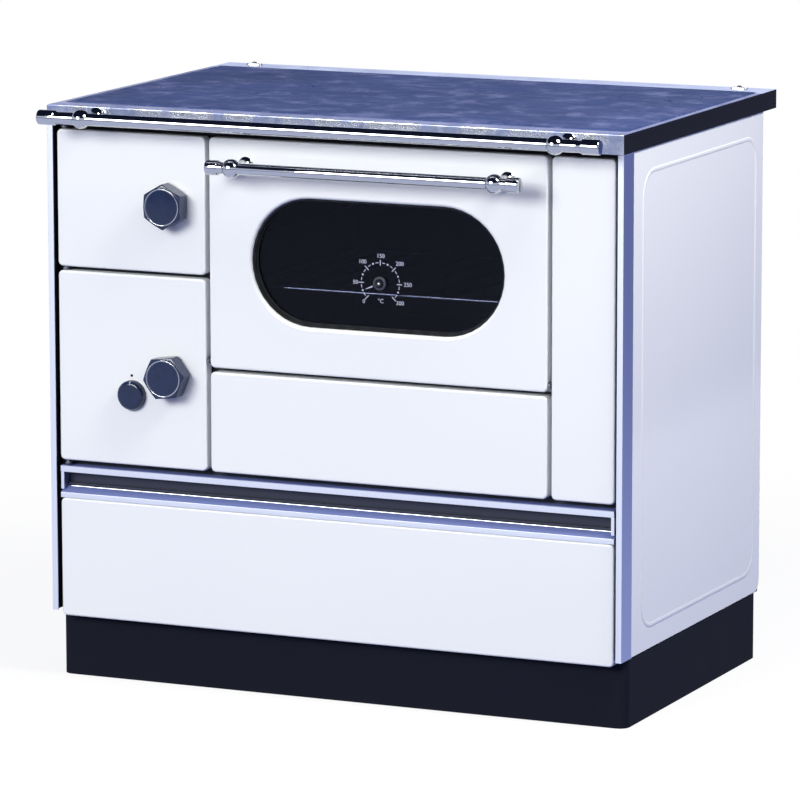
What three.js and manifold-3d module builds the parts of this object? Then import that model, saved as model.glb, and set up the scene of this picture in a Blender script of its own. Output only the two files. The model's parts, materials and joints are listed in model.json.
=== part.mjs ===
// Enamelled wood cookstove with a steel hob, an oven, a firebox, an ash chamber and a fuel drawer.
// Millimetres, +Z up, the front faces -Y. The origin is on the floor, under the middle of the whole stove.

import * as THREE from "three";
import { mergeVertices } from "three/addons/utils/BufferGeometryUtils.js";
import Module from "manifold-3d";

const wasm = await Module();
wasm.setup();

// ---- Overall ----
const width = 900; // hob, left to right
const depth = 600; // hob, front edge to rear edge
const height = 847; // floor to the top of the cooking plate
const seat = 0.3; // gap between two pieces that touch
const running = 1; // gap round a piece that lifts or slides

// ---- Hob ----
const plateThick = 12;
const plateProud = 1; // plate above its frame
const apronHeight = 28;
const frontStrip = 40; // frame seen in front of the plate
const sideStrip = 11;
const rearStrip = 54;
const frameSheet = 2;
const ledgeReach = 12; // ledge under the plate's edge
const plateCorner = 4;

// ---- Cooking lids ----
const fireLidRadius = 114;
const fireLidIn = 163; // centre from the left side of the hob
const fireLidY = -6;
const flueLidRadius = 61;
const flueLidIn = 115; // centre from the right side of the hob
const flueLidY = 126;
const lidStep = 8; // width of the ledge that carries a lid
const lidFlange = 6; // thickness of the lid's rim
const lidSegments = 40;
const lifterLength = 22; // slot for the lid lifter
const lifterWidth = 8;
const lifterDeep = 4;

// ---- Plinth and body ----
const plinthHeight = 98;
const plinthSetback = 24;
const plinthRearSetback = 8;
const plinthSideSetback = 0.5;
const plinthCorner = 15;
const plinthFlange = 16; // edges turned in, on the floor and under the base
const panSheet = 2;
const panelSheet = 2;
const panelCorner = 18;
const beadInset = 38; // embossed frame line on the side panels, behind the corner trim
const beadRear = 25; // ahead of the panel's rear edge
const beadEnds = 30; // from the panel's upper and lower edges
const beadWidth = 7;
const beadRise = 1.2;
const beadSection = [[0, 0], [0.12, 0.7], [0.35, 1]]; // half its section, as shares of its width and rise
const beadCorner = 40;
const trimFace = 9; // corner trim seen from the front
const trimSide = 38; // corner trim seen from the side
const trimSheet = 2;

// ---- Doors and panels of the front ----
const faceSetback = 4; // door faces behind the hob's front edge
const sideGap = 4.5;
const columnGap = 6.5;
const rowGap = 6;
const topGap = 7;
const drawerGap = 8.5; // between the drawer's grip and the doors
const leftColumn = 238.5;
const rightColumn = 96;
const drawerFrontLow = 92; // floor to the drawer front's lower edge
const drawerFrontHeight = 176;
const gripHeight = 48;
const ashDoorHeight = 280;
const sootPanelHeight = 146.5;
const doorDepth = 18; // enamelled tray of a door
const doorSheet = 2;
const doorCorner = 7;
const doorRound = 3; // rounding round the face
const linerInset = 12;
const linerDeep = 22; // back of a door's liner behind the door's face
const linerSheet = 2;
const gasketWidth = 8;
const frameGap = 2; // between a liner and the front frame
const frameThick = 3;

// ---- Hinges ----
const pivotIn = 10; // pivot from the door's edge
const pivotBack = 6; // pivot behind the door's face
const pinRadius = 3;
const pinReach = 7; // pin inside the door
const tabThick = 2.5;
const tabWidth = 10;
const stripThick = 1.5; // strip on the front frame that carries the tabs
const stripOut = 3.5; // strip outside the door's edge
const stripEnd = 2; // strip beyond its last tab

// ---- Knobs ----
const knobAcross = 58; // across flats
const knobDepth = 25;
const knobFace = 28; // radius of the flat end
const knobCollar = 18;
const knobCollarDeep = 3;
const knobFromEdge = 56; // knob centre from the door's free edge
const fireKnobDrop = 1.4; // below the middle of the fire door
const ashKnobDrop = 144; // below the ash door's top edge
const spindleRadius = 5;
const spindleOut = 12; // spindle in front of the door's face
const tongueLength = 37;
const tongueWidth = 14;
const tongueThick = 4;
const tongueFree = 3.5; // turned tongue to the firebox wall
const regulatorRadius = 22;
const regulatorDeep = 11;
const regulatorLeft = 63; // left of the knob
const regulatorDrop = 32; // below the knob
const shutterRadius = 34;
const shutterThick = 2;
const airHoles = 4;
const airHoleRadius = 8;
const airHoleRing = 21;

// ---- Oven door ----
const windowSide = 66.25; // door's side edges to the opening
const windowDrop = 81; // door's top edge to the opening
const windowLow = 68; // door's lower edge to the opening
const windowRim = 5; // rolled edge of the opening
const windowFlange = 12; // turned-in edge behind the face
const sealWidth = 5;
const sealThick = 2.6;
const sealLip = 2.3; // lip that lines the opening, from its edge
const glassThick = 4;
const glassMargin = 14;
const dialDrop = 24; // thermometer below the window's centre
const hubRadius = 10;
const hubThick = 4;
const stemRadius = 3.7;
const stemLength = 46;
const needleLength = 22;
const needleThick = 1.4;
const needleWidth = 3.6;
const zeroMark = 135; // degrees anticlockwise from the top of the scale
const needleAtRest = 22.5; // degrees clockwise from the zero mark

// ---- Rail and oven handle ----
const railIn = 14; // bar's end from the side of the hob
const railPostIn = 68; // post from the bar's end
const railRadius = 9;
const railStandoff = 50;
const handleIn = 20.75; // bar's end from the side of the oven door
const handlePostIn = 39; // post from the bar's end
const handleRadius = 8.5;
const handleStandoff = 48;
const handleDrop = 36.5; // below the oven door's top edge
const ballRadius = 14;
const postFoot = 11.5;
const postNeck = 4.5;
const capRadius = 11;
const capTaper = 7;
const railCap = 27; // length of the turned ends
const handleCap = 19;

// ---- Firebox ----
const casingSheet = 2.5;
const casingSide = 6; // casing outside the door openings, at the left
const fireboxDepth = 430;
const casingDrop = 26; // casing's top edge below the hob frame
const brickThick = 30;
const brickDrop = 10; // bricks below the casing's top edge
const brickSetback = 12; // bricks behind the casing's front edge
const brickChamfer = 4;
const grateDrop = 4.5; // top of the grate below the ash door's top edge
const grateThick = 12;
const grateMargin = 42; // grate opening inside the casing
const grateLip = 8;
const grateSlots = 9;
const grateSlotWidth = 7;
const ledgeDeep = 8;
const ashPanHeight = 70;
const ashPanSheet = 1.5;
const ashPanSide = 10; // ash pan inside the ash opening
const ashPanGrip = 60; // width of the loop on its front
const ashPanGripDrop = 24;
const ashPanGripThick = 3;

// ---- Oven ----
const ovenDepth = 420;
const ovenSheet = 2;
const ribHeight = 6;
const ribReach = 8;
const ribLevels = [0.2, 0.45, 0.69]; // shelf levels, as shares of the oven's height below its roof
const rackWire = 2.5; // wire radius
const rackBars = 11;
const rackSide = 3; // rack inside the oven walls

// ---- Drawer ----
const drawerDepth = 486;
const drawerWall = 1.5;
const drawerInset = 3; // drawer box inside its opening
const drawerBoxHeight = 140;
const runnerShelf = 22;
const runnerWall = 30;
const runnerSheet = 2;
const runnerRise = 7; // drawer box above the base pan
const gripDeep = 23;
const gripLip = 9.5; // upper front strip
const gripMouth = 18.5; // dark recess
const gripSlope = 11; // sloping lower face
const gripWall = 2;
const gripBackSheet = 1;

// ---- Rear ----
const flueCoverRadius = 85;
const flueCoverIn = 150; // centre from the right side of the hob
const flueCoverDrop = 118; // below the hob frame
const flueCoverThick = 3;
const socketIn = 52; // centre from the side of the hob
const socketFromRear = 18;
const socketLength = 26;

// ---- Places worked out from the above ----
const half = width / 2;
const fireLidX = fireLidIn - half;
const flueLidX = half - flueLidIn;
const railHalf = half - railIn;
const railPostX = railHalf - railPostIn;
const flueCoverX = half - flueCoverIn;
const socketX = half - socketIn;
const front = -depth / 2;
const face = front + faceSetback;
const frameFront = face + linerDeep + frameGap;
const frameBack = frameFront + frameThick;
const frameTop = height - plateProud;
const underHob = frameTop - apronHeight;
const underFlange = frameTop - frameSheet;
const ledgeTop = height - plateThick;
const plateOpening = { x: half - sideStrip, front: front + frontStrip, rear: depth / 2 - rearStrip };
const ledgeWall = 2;
const rear = plateOpening.rear + ledgeWall + running + panelSheet;
const panTop = plinthHeight + panSheet;
const panelOuter = half - trimSheet - seat;
const panelInner = panelOuter - panelSheet;
const bodyHalf = panelInner - seat;

const frontLeft = -half + trimFace + sideGap;
const middleLeft = frontLeft + leftColumn + columnGap;
const rightRight = half - trimFace - sideGap;
const rightLeft = rightRight - rightColumn;
const middleRight = rightLeft - columnGap;
const handleHalf = (middleRight - middleLeft) / 2 - handleIn;
const handlePostX = handleHalf - handlePostIn;
const doorsTop = underHob - topGap;
const drawerFrontTop = drawerFrontLow + drawerFrontHeight;
const doorsLow = drawerFrontTop + gripHeight + drawerGap;
const ashTop = doorsLow + ashDoorHeight;
const fireLow = ashTop + rowGap;
const sootTop = doorsLow + sootPanelHeight;
const ovenLow = sootTop + rowGap;
const casingTop = underHob - casingDrop;
const grateLevel = ashTop - grateDrop;
const windowWidth = middleRight - middleLeft - 2 * windowSide;
const windowHeight = doorsTop - ovenLow - windowDrop - windowLow;

// Each front piece as the rectangle of its face: x0, x1, z0, z1.
const fireDoorAt = { x0: frontLeft, x1: frontLeft + leftColumn, z0: fireLow, z1: doorsTop };
const ashDoorAt = { x0: frontLeft, x1: frontLeft + leftColumn, z0: doorsLow, z1: ashTop };
const ovenDoorAt = { x0: middleLeft, x1: middleRight, z0: ovenLow, z1: doorsTop };
const sootPanelAt = { x0: middleLeft, x1: middleRight, z0: doorsLow, z1: sootTop };
const fluePanelAt = { x0: rightLeft, x1: rightRight, z0: doorsLow, z1: doorsTop };
const drawerAt = { x0: -rightRight, x1: rightRight, z0: drawerFrontLow, z1: drawerFrontTop };

const openingInset = linerInset + gasketWidth + 2;
const fireOpening = inset(fireDoorAt, openingInset);
const ashOpening = inset(ashDoorAt, openingInset);
const ovenOpening = inset(ovenDoorAt, openingInset);
const sootOpening = inset(sootPanelAt, openingInset);
const drawerOpening = {
  x0: drawerAt.x0 + openingInset,
  x1: drawerAt.x1 - openingInset,
  z0: panTop + frameThick,
  z1: panTop + runnerRise + drawerBoxHeight + 2 * running,
};

// ---- Materials ----
const enamel = finish("#f1f3f8", 0.22, 0);
const trimSteel = finish("#c9cdd6", 0.3, 1);
const hobSteel = finish("#c4c8d0", 0.22, 1);
const plateIron = finish("#5b6378", 0.5, 0.8);
const blackPaint = finish("#16171a", 0.55, 0);
const bareSteel = finish("#8d9097", 0.45, 1);
const chromed = finish("#dfe2e8", 0.08, 1);
const castIron = finish("#35373b", 0.8, 0.6);
const fireBrick = finish("#cdb48a", 0.95, 0);
const ropeSeal = finish("#2b2b2c", 0.95, 0);
const knobBlack = finish("#23252e", 0.3, 0);
const ovenEnamel = finish("#22252c", 0.35, 0);
const aluminium = finish("#b9bdc9", 0.35, 1);
const darkGlass = finish("#11141a", 0.05, 0);
const needleWhite = finish("#e9ebee", 0.4, 0);

function finish(color, roughness, metalness) {
  return new THREE.MeshStandardMaterial({ color, roughness, metalness });
}

// ---- Solids ----

function inset(rect, by) {
  return { x0: rect.x0 + by, x1: rect.x1 - by, z0: rect.z0 + by, z1: rect.z1 - by };
}

function toSolid(geometry) {
  const bare = geometry.clone();
  bare.deleteAttribute("normal");
  bare.deleteAttribute("uv");
  const merged = mergeVertices(bare, 1e-4);
  return new wasm.Manifold(
    new wasm.Mesh({
      numProp: 3,
      vertProperties: new Float32Array(merged.attributes.position.array),
      triVerts: new Uint32Array(merged.index.array),
    }),
  );
}

function toGeometry(solid) {
  const mesh = solid.getMesh();
  const geometry = new THREE.BufferGeometry();
  geometry.setAttribute("position", new THREE.BufferAttribute(mesh.vertProperties, 3));
  geometry.setIndex(new THREE.BufferAttribute(mesh.triVerts, 1));
  geometry.computeVertexNormals();
  return geometry;
}

function cut(base, ...tools) {
  return toGeometry(tools.reduce((solid, tool) => solid.subtract(toSolid(tool)), toSolid(base)));
}

function join(...pieces) {
  return toGeometry(pieces.map(toSolid).reduce((all, piece) => all.add(piece)));
}

function shared(a, b) {
  return toGeometry(toSolid(a).intersect(toSolid(b)));
}

// A cuboid between two corners.
function block(x0, x1, y0, y1, z0, z1) {
  return new THREE.BoxGeometry(x1 - x0, y1 - y0, z1 - z0).translate(
    (x0 + x1) / 2,
    (y0 + y1) / 2,
    (z0 + z1) / 2,
  );
}

// A round-cornered rectangle about the origin, drawn in by an inset; a large corner gives an obround.
function roundedRect(w, h, corner, steps = 4) {
  return (by) => {
    const radius = Math.max(Math.min(corner - by, w / 2 - by, h / 2 - by), 0.2);
    const x = w / 2 - by - radius;
    const y = h / 2 - by - radius;
    const points = [];
    for (const [sx, sy, from] of [[1, 1, 0], [-1, 1, 1], [-1, -1, 2], [1, -1, 3]]) {
      for (let i = 0; i <= steps; i++) {
        const turn = ((from + i / steps) * Math.PI) / 2;
        points.push(new THREE.Vector2(sx * x + radius * Math.cos(turn), sy * y + radius * Math.sin(turn)));
      }
    }
    return points;
  };
}

// A loft of one convex outline through levels of [inset, height], closed by flat ends.
function stack(outline, levels) {
  const rings = levels.map(([by, z]) => outline(by).map((p) => [p.x, p.y, z]));
  const count = rings[0].length;
  const index = [];
  for (let ring = 0; ring + 1 < rings.length; ring++) {
    for (let i = 0; i < count; i++) {
      const a = ring * count + i;
      const b = ring * count + ((i + 1) % count);
      index.push(a, b, b + count, a, b + count, a + count);
    }
  }
  const top = (rings.length - 1) * count;
  for (let i = 1; i + 1 < count; i++) {
    index.push(0, i + 1, i, top, top + i, top + i + 1);
  }
  const geometry = new THREE.BufferGeometry();
  geometry.setAttribute("position", new THREE.BufferAttribute(new Float32Array(rings.flat(2)), 3));
  geometry.setIndex(index);
  return geometry;
}

// A quarter-round edge from the side of a loft to its end face at the given height.
function roundedEdge(radius, height, steps = 3) {
  const levels = [];
  for (let i = 0; i <= steps; i++) {
    const turn = ((i / steps) * Math.PI) / 2;
    levels.push([radius * (1 - Math.cos(turn)), height - radius + radius * Math.sin(turn)]);
  }
  return levels;
}

// Turns a solid drawn upright so that its height points to the front.
const toFront = (geometry) => geometry.rotateX(Math.PI / 2);

// A turned solid about +Y from [radius, distance] points, starting and ending on the axis.
function turned(profile, segments) {
  return new THREE.LatheGeometry(profile.map(([r, y]) => new THREE.Vector2(r, y)), segments);
}

// A round bar along an axis, centred where it is put.
function bar(radius, length, axis, segments = 16) {
  const geometry = new THREE.CylinderGeometry(radius, radius, length, segments);
  if (axis === "x") geometry.rotateZ(Math.PI / 2);
  if (axis === "z") geometry.rotateX(Math.PI / 2);
  return geometry;
}

// Stands a solid up: its own first two directions become +Y and +Z, and its third becomes +X.
const toSide = (geometry) =>
  geometry.applyMatrix4(new THREE.Matrix4().set(0, 0, 1, 0, 1, 0, 0, 0, 0, 1, 0, 0, 0, 0, 0, 1));

// A cross-section in Y and Z, drawn as points, pulled along X from x0 to x1.
function pulledAlongX(points, x0, x1) {
  const shape = new THREE.Shape(points.map(([y, z]) => new THREE.Vector2(y, z)));
  const length = new THREE.ExtrudeGeometry(shape, { depth: x1 - x0, bevelEnabled: false });
  return toSide(length).translate(x0, 0, 0);
}

// A plate seen from the front, pulled back from y0 to y1.
function frontPlate(shape, y0, y1, curveSegments = 6) {
  return toFront(new THREE.ExtrudeGeometry(shape, { depth: y1 - y0, bevelEnabled: false, curveSegments }))
    .translate(0, y1, 0);
}

function rectShape(x0, x1, z0, z1) {
  const shape = new THREE.Shape();
  shape.moveTo(x0, z0).lineTo(x1, z0).lineTo(x1, z1).lineTo(x0, z1).closePath();
  return shape;
}

const root = new THREE.Group();

function part(name, geometry, material, group = root, at = [0, 0, 0]) {
  const mesh = new THREE.Mesh(geometry, material);
  mesh.name = name;
  mesh.position.set(...at);
  group.add(mesh);
  return mesh;
}

// A group whose own origin is the middle of a front piece, on its face.
function frontGroup(rect) {
  const group = new THREE.Group();
  group.position.set((rect.x0 + rect.x1) / 2, face, (rect.z0 + rect.z1) / 2);
  root.add(group);
  return group;
}

const spanX = (rect) => rect.x1 - rect.x0;
const spanZ = (rect) => rect.z1 - rect.z0;

// ---- Plinth, base and casing ----

function plinth() {
  const w = 2 * (half - trimSheet - plinthSideSetback);
  const y0 = front + plinthSetback;
  const y1 = rear - plinthRearSetback;
  const outer = roundedRect(w, y1 - y0, plinthCorner);
  const ring = cut(
    stack(outer, [[0, 0], [0, plinthHeight]]),
    stack(outer, [[panSheet, panSheet], [panSheet, plinthHeight - panSheet]]),
    stack(outer, [[plinthFlange, -1], [plinthFlange, plinthHeight + 1]]),
  );
  part("plinth", ring, blackPaint, root, [0, (y0 + y1) / 2, 0]);
}

function basePan() {
  const y1 = rear - panelSheet - seat;
  const pan = block(-bodyHalf, bodyHalf, front + plinthSetback, y1, plinthHeight, panTop);
  part("base_pan", pan, blackPaint);
}

// Drawn lying down, with the embossed line on top; the left panel is the mirror image of the right one.
function sidePanel(name, side) {
  const y0 = front + trimSheet + seat;
  const top = underFlange - seat;
  const shape = new THREE.Shape();
  shape.moveTo(y0, panTop).lineTo(rear - panelCorner, panTop);
  shape.absarc(rear - panelCorner, panTop + panelCorner, panelCorner, -Math.PI / 2, 0);
  shape.lineTo(rear, top).lineTo(y0, top).closePath();
  const sheet = new THREE.ExtrudeGeometry(shape, {
    depth: panelSheet,
    bevelEnabled: false,
    curveSegments: 5,
  });
  const bead = {
    y0: front + trimSide + beadInset,
    y1: rear - beadRear,
    z0: panTop + beadEnds,
    z1: underHob - beadEnds,
  };
  const line = roundedRect(bead.y1 - bead.y0, bead.z1 - bead.z0, beadCorner, 5);
  const rise = beadSection.map(([across, up]) => [across * beadWidth, up * beadRise]);
  const crest = rise.at(-1);
  const ridge = cut(
    stack(line, rise),
    stack(line, [...rise.map(([by, z]) => [beadWidth - by, z]), [beadWidth - crest[0], beadRise + 1]]),
    stack(line, [[beadWidth, -1], [beadWidth, 0.01]]),
  ).translate((bead.y0 + bead.y1) / 2, (bead.z0 + bead.z1) / 2, panelSheet - 0.05);
  const panel = toSide(join(sheet, ridge));
  const handed = side > 0 ? panel : toGeometry(toSolid(panel).mirror([1, 0, 0]));
  part(name, handed, enamel, root, [side * panelInner, 0, 0]);
}

function rearPanel() {
  const sheet = block(-bodyHalf, bodyHalf, rear - panelSheet, rear, plinthHeight, underFlange - seat);
  part("rear_panel", sheet, bareSteel);
}

function rearFlueCover() {
  const profile = [
    [0, 0],
    [flueCoverRadius, 0],
    [flueCoverRadius, flueCoverThick * 0.6],
    [flueCoverRadius - 4, flueCoverThick],
    [flueCoverRadius - 14, flueCoverThick],
    [flueCoverRadius - 18, flueCoverThick * 0.5],
    [0, flueCoverThick * 0.5],
  ];
  const z = underHob - flueCoverDrop;
  part("rear_flue_cover", turned(profile, 40), bareSteel, root, [flueCoverX, rear + seat, z]);
}

function frontFrame() {
  const sheet = block(-bodyHalf, bodyHalf, frameFront, frameBack, panTop + seat, underFlange - seat);
  const holes = [fireOpening, ashOpening, ovenOpening, sootOpening, drawerOpening].map((hole) =>
    block(hole.x0, hole.x1, frameFront - 1, frameBack + 1, hole.z0, hole.z1),
  );
  part("front_frame", cut(sheet, ...holes), castIron);
}

function cornerTrim(name, side) {
  const shape = new THREE.Shape();
  const outer = side * half;
  const inner = side * (half - trimSheet);
  shape.moveTo(outer, front).lineTo(outer, front + trimSide).lineTo(inner, front + trimSide);
  shape.lineTo(inner, front + trimSheet).lineTo(side * (half - trimFace), front + trimSheet);
  shape.lineTo(side * (half - trimFace), front).closePath();
  const angle = new THREE.ExtrudeGeometry(shape, { depth: underHob - seat - panTop, bevelEnabled: false });
  part(name, angle, aluminium, root, [0, 0, panTop]);
}

// ---- Hob ----

function hobFrame() {
  const deepest = height - plateThick - frameSheet;
  const open = plateOpening;
  const shell = block(-half, half, front, depth / 2, underHob, frameTop);
  const hollow = block(
    -half + frameSheet, half - frameSheet, front + frameSheet, depth / 2 - frameSheet,
    underHob - 1, underFlange,
  );
  const well = block(
    -open.x - ledgeWall, open.x + ledgeWall, open.front - ledgeWall, open.rear + ledgeWall,
    deepest, frameTop,
  );
  const mouth = block(-open.x, open.x, open.front, open.rear, ledgeTop, frameTop + 1);
  const throat = block(
    -open.x + ledgeReach, open.x - ledgeReach, open.front + ledgeReach, open.rear - ledgeReach,
    underHob - 1, frameTop + 1,
  );
  part("hob_frame", cut(join(cut(shell, hollow), well), mouth, throat), hobSteel);
}

function hobPlate() {
  const open = plateOpening;
  const w = 2 * (open.x - running);
  const d = open.rear - open.front - 2 * running;
  const midY = (open.front + open.rear) / 2;
  const slab = stack(roundedRect(w, d, plateCorner, 2), [
    [0, seat], [0, plateThick - 1.5], [0.5, plateThick - 0.5], [1.5, plateThick],
  ]);
  const steppedHole = (r, x, y) =>
    turned(
      [
        [0, -1], [r - lidStep, -1], [r - lidStep, plateThick - lidFlange],
        [r, plateThick - lidFlange], [r, plateThick + 1], [0, plateThick + 1],
      ],
      lidSegments,
    ).rotateX(Math.PI / 2).translate(x, y - midY, 0);
  const holes = [
    steppedHole(fireLidRadius, fireLidX, fireLidY),
    steppedHole(flueLidRadius, flueLidX, flueLidY),
  ];
  part("hob_plate", cut(slab, ...holes), plateIron, root, [0, midY, ledgeTop]);
}

function lid(name, radius, x, y, slotTurn) {
  const rim = radius - running / 2;
  const boss = radius - lidStep - running;
  const disc = turned(
    [
      [0, lidFlange / 3], [boss, lidFlange / 3], [boss, plateThick - lidFlange + seat],
      [rim, plateThick - lidFlange + seat], [rim, plateThick - 0.6],
      [rim - 0.6, plateThick], [0, plateThick],
    ],
    lidSegments,
  ).rotateX(Math.PI / 2);
  const slot = stack(roundedRect(lifterLength, lifterWidth, lifterWidth, 4), [
    [0, plateThick - lifterDeep], [0, plateThick - 1], [-1, plateThick], [-1, plateThick + 1],
  ]).translate(radius * 0.66, 0, 0).rotateZ(slotTurn);
  part(name, cut(disc, slot), plateIron, root, [x, y, ledgeTop]);
}

function railSockets() {
  const saddle = () =>
    cut(
      join(
        stack(roundedRect(socketLength, 9, 4.5, 4), [[0, 0], [0, 1.2], [0.5, 1.8]]),
        turned([[0, 0.5], [4, 0.5], [4, 3], [2.5, 4.2], [0, 4.6]], 12).rotateX(Math.PI / 2),
      ),
      ...[-1, 1].map((side) => bar(2, 6, "z", 10).translate(side * (socketLength / 2 - 5), 0, 0)),
    );
  const y = depth / 2 - socketFromRear;
  for (const [name, side] of [["rear_socket_left", -1], ["rear_socket_right", 1]]) {
    part(name, saddle(), chromed, root, [side * socketX, y, frameTop + seat]);
  }
}

// ---- Rail and handle: a turned bar through two turned posts ----

function turnedBar(halfLength, radius, capLength) {
  const inner = halfLength - capLength;
  const end = [
    [0, halfLength], [capRadius - 2, halfLength], [capRadius, halfLength - 2], [capRadius, inner],
    [capRadius - 1.2, inner - 0.8], [radius - 1, inner - capTaper], [radius, inner - capTaper - 1],
  ];
  const profile = [...end.map(([r, x]) => [r, -x]), ...end.reverse()];
  return turned(profile, 16).rotateZ(-Math.PI / 2);
}

function turnedPost(standoff, barRadius) {
  const from = standoff - Math.sqrt(ballRadius ** 2 - (postNeck + 1.5) ** 2);
  const profile = [
    [0, 0], [postFoot, 0], [postFoot, 2.5], [postFoot - 3, 5], [postNeck + 1, 8],
    [postNeck, (8 + from) / 2], [postNeck + 0.5, from - 3],
  ];
  const start = Math.asin((postNeck + 1.5) / ballRadius);
  for (let i = 0; i <= 7; i++) {
    const turn = start + ((Math.PI - start) * i) / 7;
    profile.push([i === 7 ? 0 : ballRadius * Math.sin(turn), standoff - ballRadius * Math.cos(turn)]);
  }
  const post = turned(profile, 16).rotateX(Math.PI);
  return cut(post, bar(barRadius + seat, 4 * ballRadius, "x", 16).translate(0, -standoff, 0));
}

function rail() {
  const group = new THREE.Group();
  group.position.set(0, front, frameTop - apronHeight / 2 + 2);
  root.add(group);
  part("rail_bar", turnedBar(railHalf, railRadius, railCap), chromed, group, [0, -railStandoff - seat, 0]);
  for (const [name, side] of [["rail_post_left", -1], ["rail_post_right", 1]]) {
    part(name, turnedPost(railStandoff, railRadius), chromed, group, [side * railPostX, -seat, 0]);
  }
}

// ---- Front pieces ----

// The enamelled tray of a front piece, about the middle of its face, open at the back.
function tray(rect, deep) {
  const outline = roundedRect(spanX(rect), spanZ(rect), doorCorner, 3);
  return toFront(
    cut(
      stack(outline, [[0, -deep], ...roundedEdge(doorRound, 0)]),
      stack(outline, [[doorSheet, -deep - 1], [doorSheet, -doorSheet]]),
    ),
  );
}

// The steel liner inside a tray: a shallow pan whose floor is the door's back.
function liner(rect) {
  const outline = roundedRect(spanX(rect) - 2 * linerInset, spanZ(rect) - 2 * linerInset, doorCorner, 2);
  return toFront(
    cut(
      stack(outline, [[0, -linerDeep], [0, -doorSheet - seat]]),
      stack(outline, [[linerSheet, -linerDeep + linerSheet], [linerSheet, 0]]),
    ),
  );
}

// The rope seal on a liner's back.
function gasket(rect) {
  const seated = inset(rect, linerInset + 1);
  const outline = roundedRect(spanX(seated), spanZ(seated), doorCorner, 3);
  const back = -linerDeep - seat;
  const thick = frameGap - 2 * seat;
  return toFront(
    cut(
      stack(outline, [[1, back - thick], [0, back - thick / 2], [0, back]]),
      stack(outline, [[gasketWidth, back - thick - 1], [gasketWidth, back + 1]]),
    ),
  );
}

function hexKnob(turn) {
  const corner = knobAcross / Math.sqrt(3);
  const deep = knobDepth;
  const prism = new THREE.CylinderGeometry(corner, corner, deep, 6)
    .rotateX(Math.PI).translate(0, deep / 2, 0).rotateY(turn);
  const slope = (corner - knobFace) * 0.62;
  const chamfer = turned(
    [
      [0, 0], [knobFace + 2, 0], [corner + 1, slope * 0.8],
      [corner + 1, deep - slope], [knobFace, deep], [0, deep],
    ],
    36,
  );
  const dished = turned(
    [[0, deep - 0.8], [knobFace - 2.5, deep - 0.8], [knobFace - 1, deep + 1], [0, deep + 1]],
    36,
  );
  const head = cut(shared(prism, chamfer), dished).translate(0, knobCollarDeep, 0);
  const collarTop = knobCollarDeep + 1;
  const collar = turned([[0, seat], [knobCollar, seat], [knobCollar, collarTop], [0, collarTop]], 24);
  const boreRadius = spindleRadius + seat;
  const boreDeep = spindleOut + seat;
  const bore = turned([[0, -1], [boreRadius, -1], [boreRadius, boreDeep], [0, boreDeep]], 16);
  return cut(join(head, collar), bore).rotateX(Math.PI);
}

// Spindle through the door, with the tongue that turns behind the front frame.
function latch() {
  const y0 = linerDeep + frameGap + frameThick + 1.5;
  const y1 = y0 + tongueThick;
  const spindle = bar(spindleRadius, y1 + spindleOut, "y", 16).translate(0, (y1 - spindleOut) / 2, 0);
  const tongue = frontPlate(
    new THREE.Shape(roundedRect(tongueWidth, tongueLength + tongueWidth, tongueWidth, 4)(0)), y0, y1,
  ).translate(0, 0, tongueLength / 2);
  return join(spindle, tongue);
}

function spindleHole() {
  return bar(spindleRadius + seat, 4 * linerDeep, "y", 16);
}

// Holes for the two upright hinge pins at the left of a door.
function pinHoles(rect) {
  const x = -spanX(rect) / 2 + pivotIn;
  return bar(pinRadius + seat, spanZ(rect) + 20, "z", 12).translate(x, pivotBack, 0);
}

function fireDoor() {
  const rect = fireDoorAt;
  const group = frontGroup(rect);
  const knob = [spanX(rect) / 2 - knobFromEdge, 0, -fireKnobDrop];
  const hole = spindleHole().translate(...knob);
  part("fire_door_panel", cut(tray(rect, doorDepth), pinHoles(rect), hole), enamel, group);
  part("fire_door_liner", cut(liner(rect), hole), castIron, group);
  part("fire_door_gasket", gasket(rect), ropeSeal, group);
  part("fire_knob", hexKnob(0), knobBlack, group, knob);
  part("fire_latch", latch(), bareSteel, group, knob);
}

function ashDoor() {
  const rect = ashDoorAt;
  const group = frontGroup(rect);
  const knob = [spanX(rect) / 2 - knobFromEdge, 0, spanZ(rect) / 2 - ashKnobDrop];
  const valve = [knob[0] - regulatorLeft, 0, knob[2] - regulatorDrop];
  const hole = spindleHole().translate(...knob);
  const valveHole = bar(spindleRadius - 1 + seat, 4 * linerDeep, "y", 12).translate(...valve);
  const airWays = airHoleRingOf(4 * linerDeep).map((way) => way.translate(...valve));
  part("ash_door_panel", cut(tray(rect, doorDepth), pinHoles(rect), hole, valveHole), enamel, group);
  part("ash_door_liner", cut(liner(rect), hole, valveHole, ...airWays), castIron, group);
  part("ash_door_gasket", gasket(rect), ropeSeal, group);
  part("ash_knob", hexKnob(Math.PI / 6 + 0.12), knobBlack, group, knob);
  part("ash_latch", latch(), bareSteel, group, knob);
  part("air_regulator_knob", regulatorKnob(), knobBlack, group, valve);
  part("air_shutter", airShutter(), bareSteel, group, valve);
}

function airHoleRingOf(length) {
  const holes = [];
  for (let i = 0; i < airHoles; i++) {
    const turn = (i / airHoles) * 2 * Math.PI;
    const hole = bar(airHoleRadius, length, "y", 14);
    holes.push(hole.translate(airHoleRing * Math.cos(turn), 0, airHoleRing * Math.sin(turn)));
  }
  return holes;
}

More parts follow.
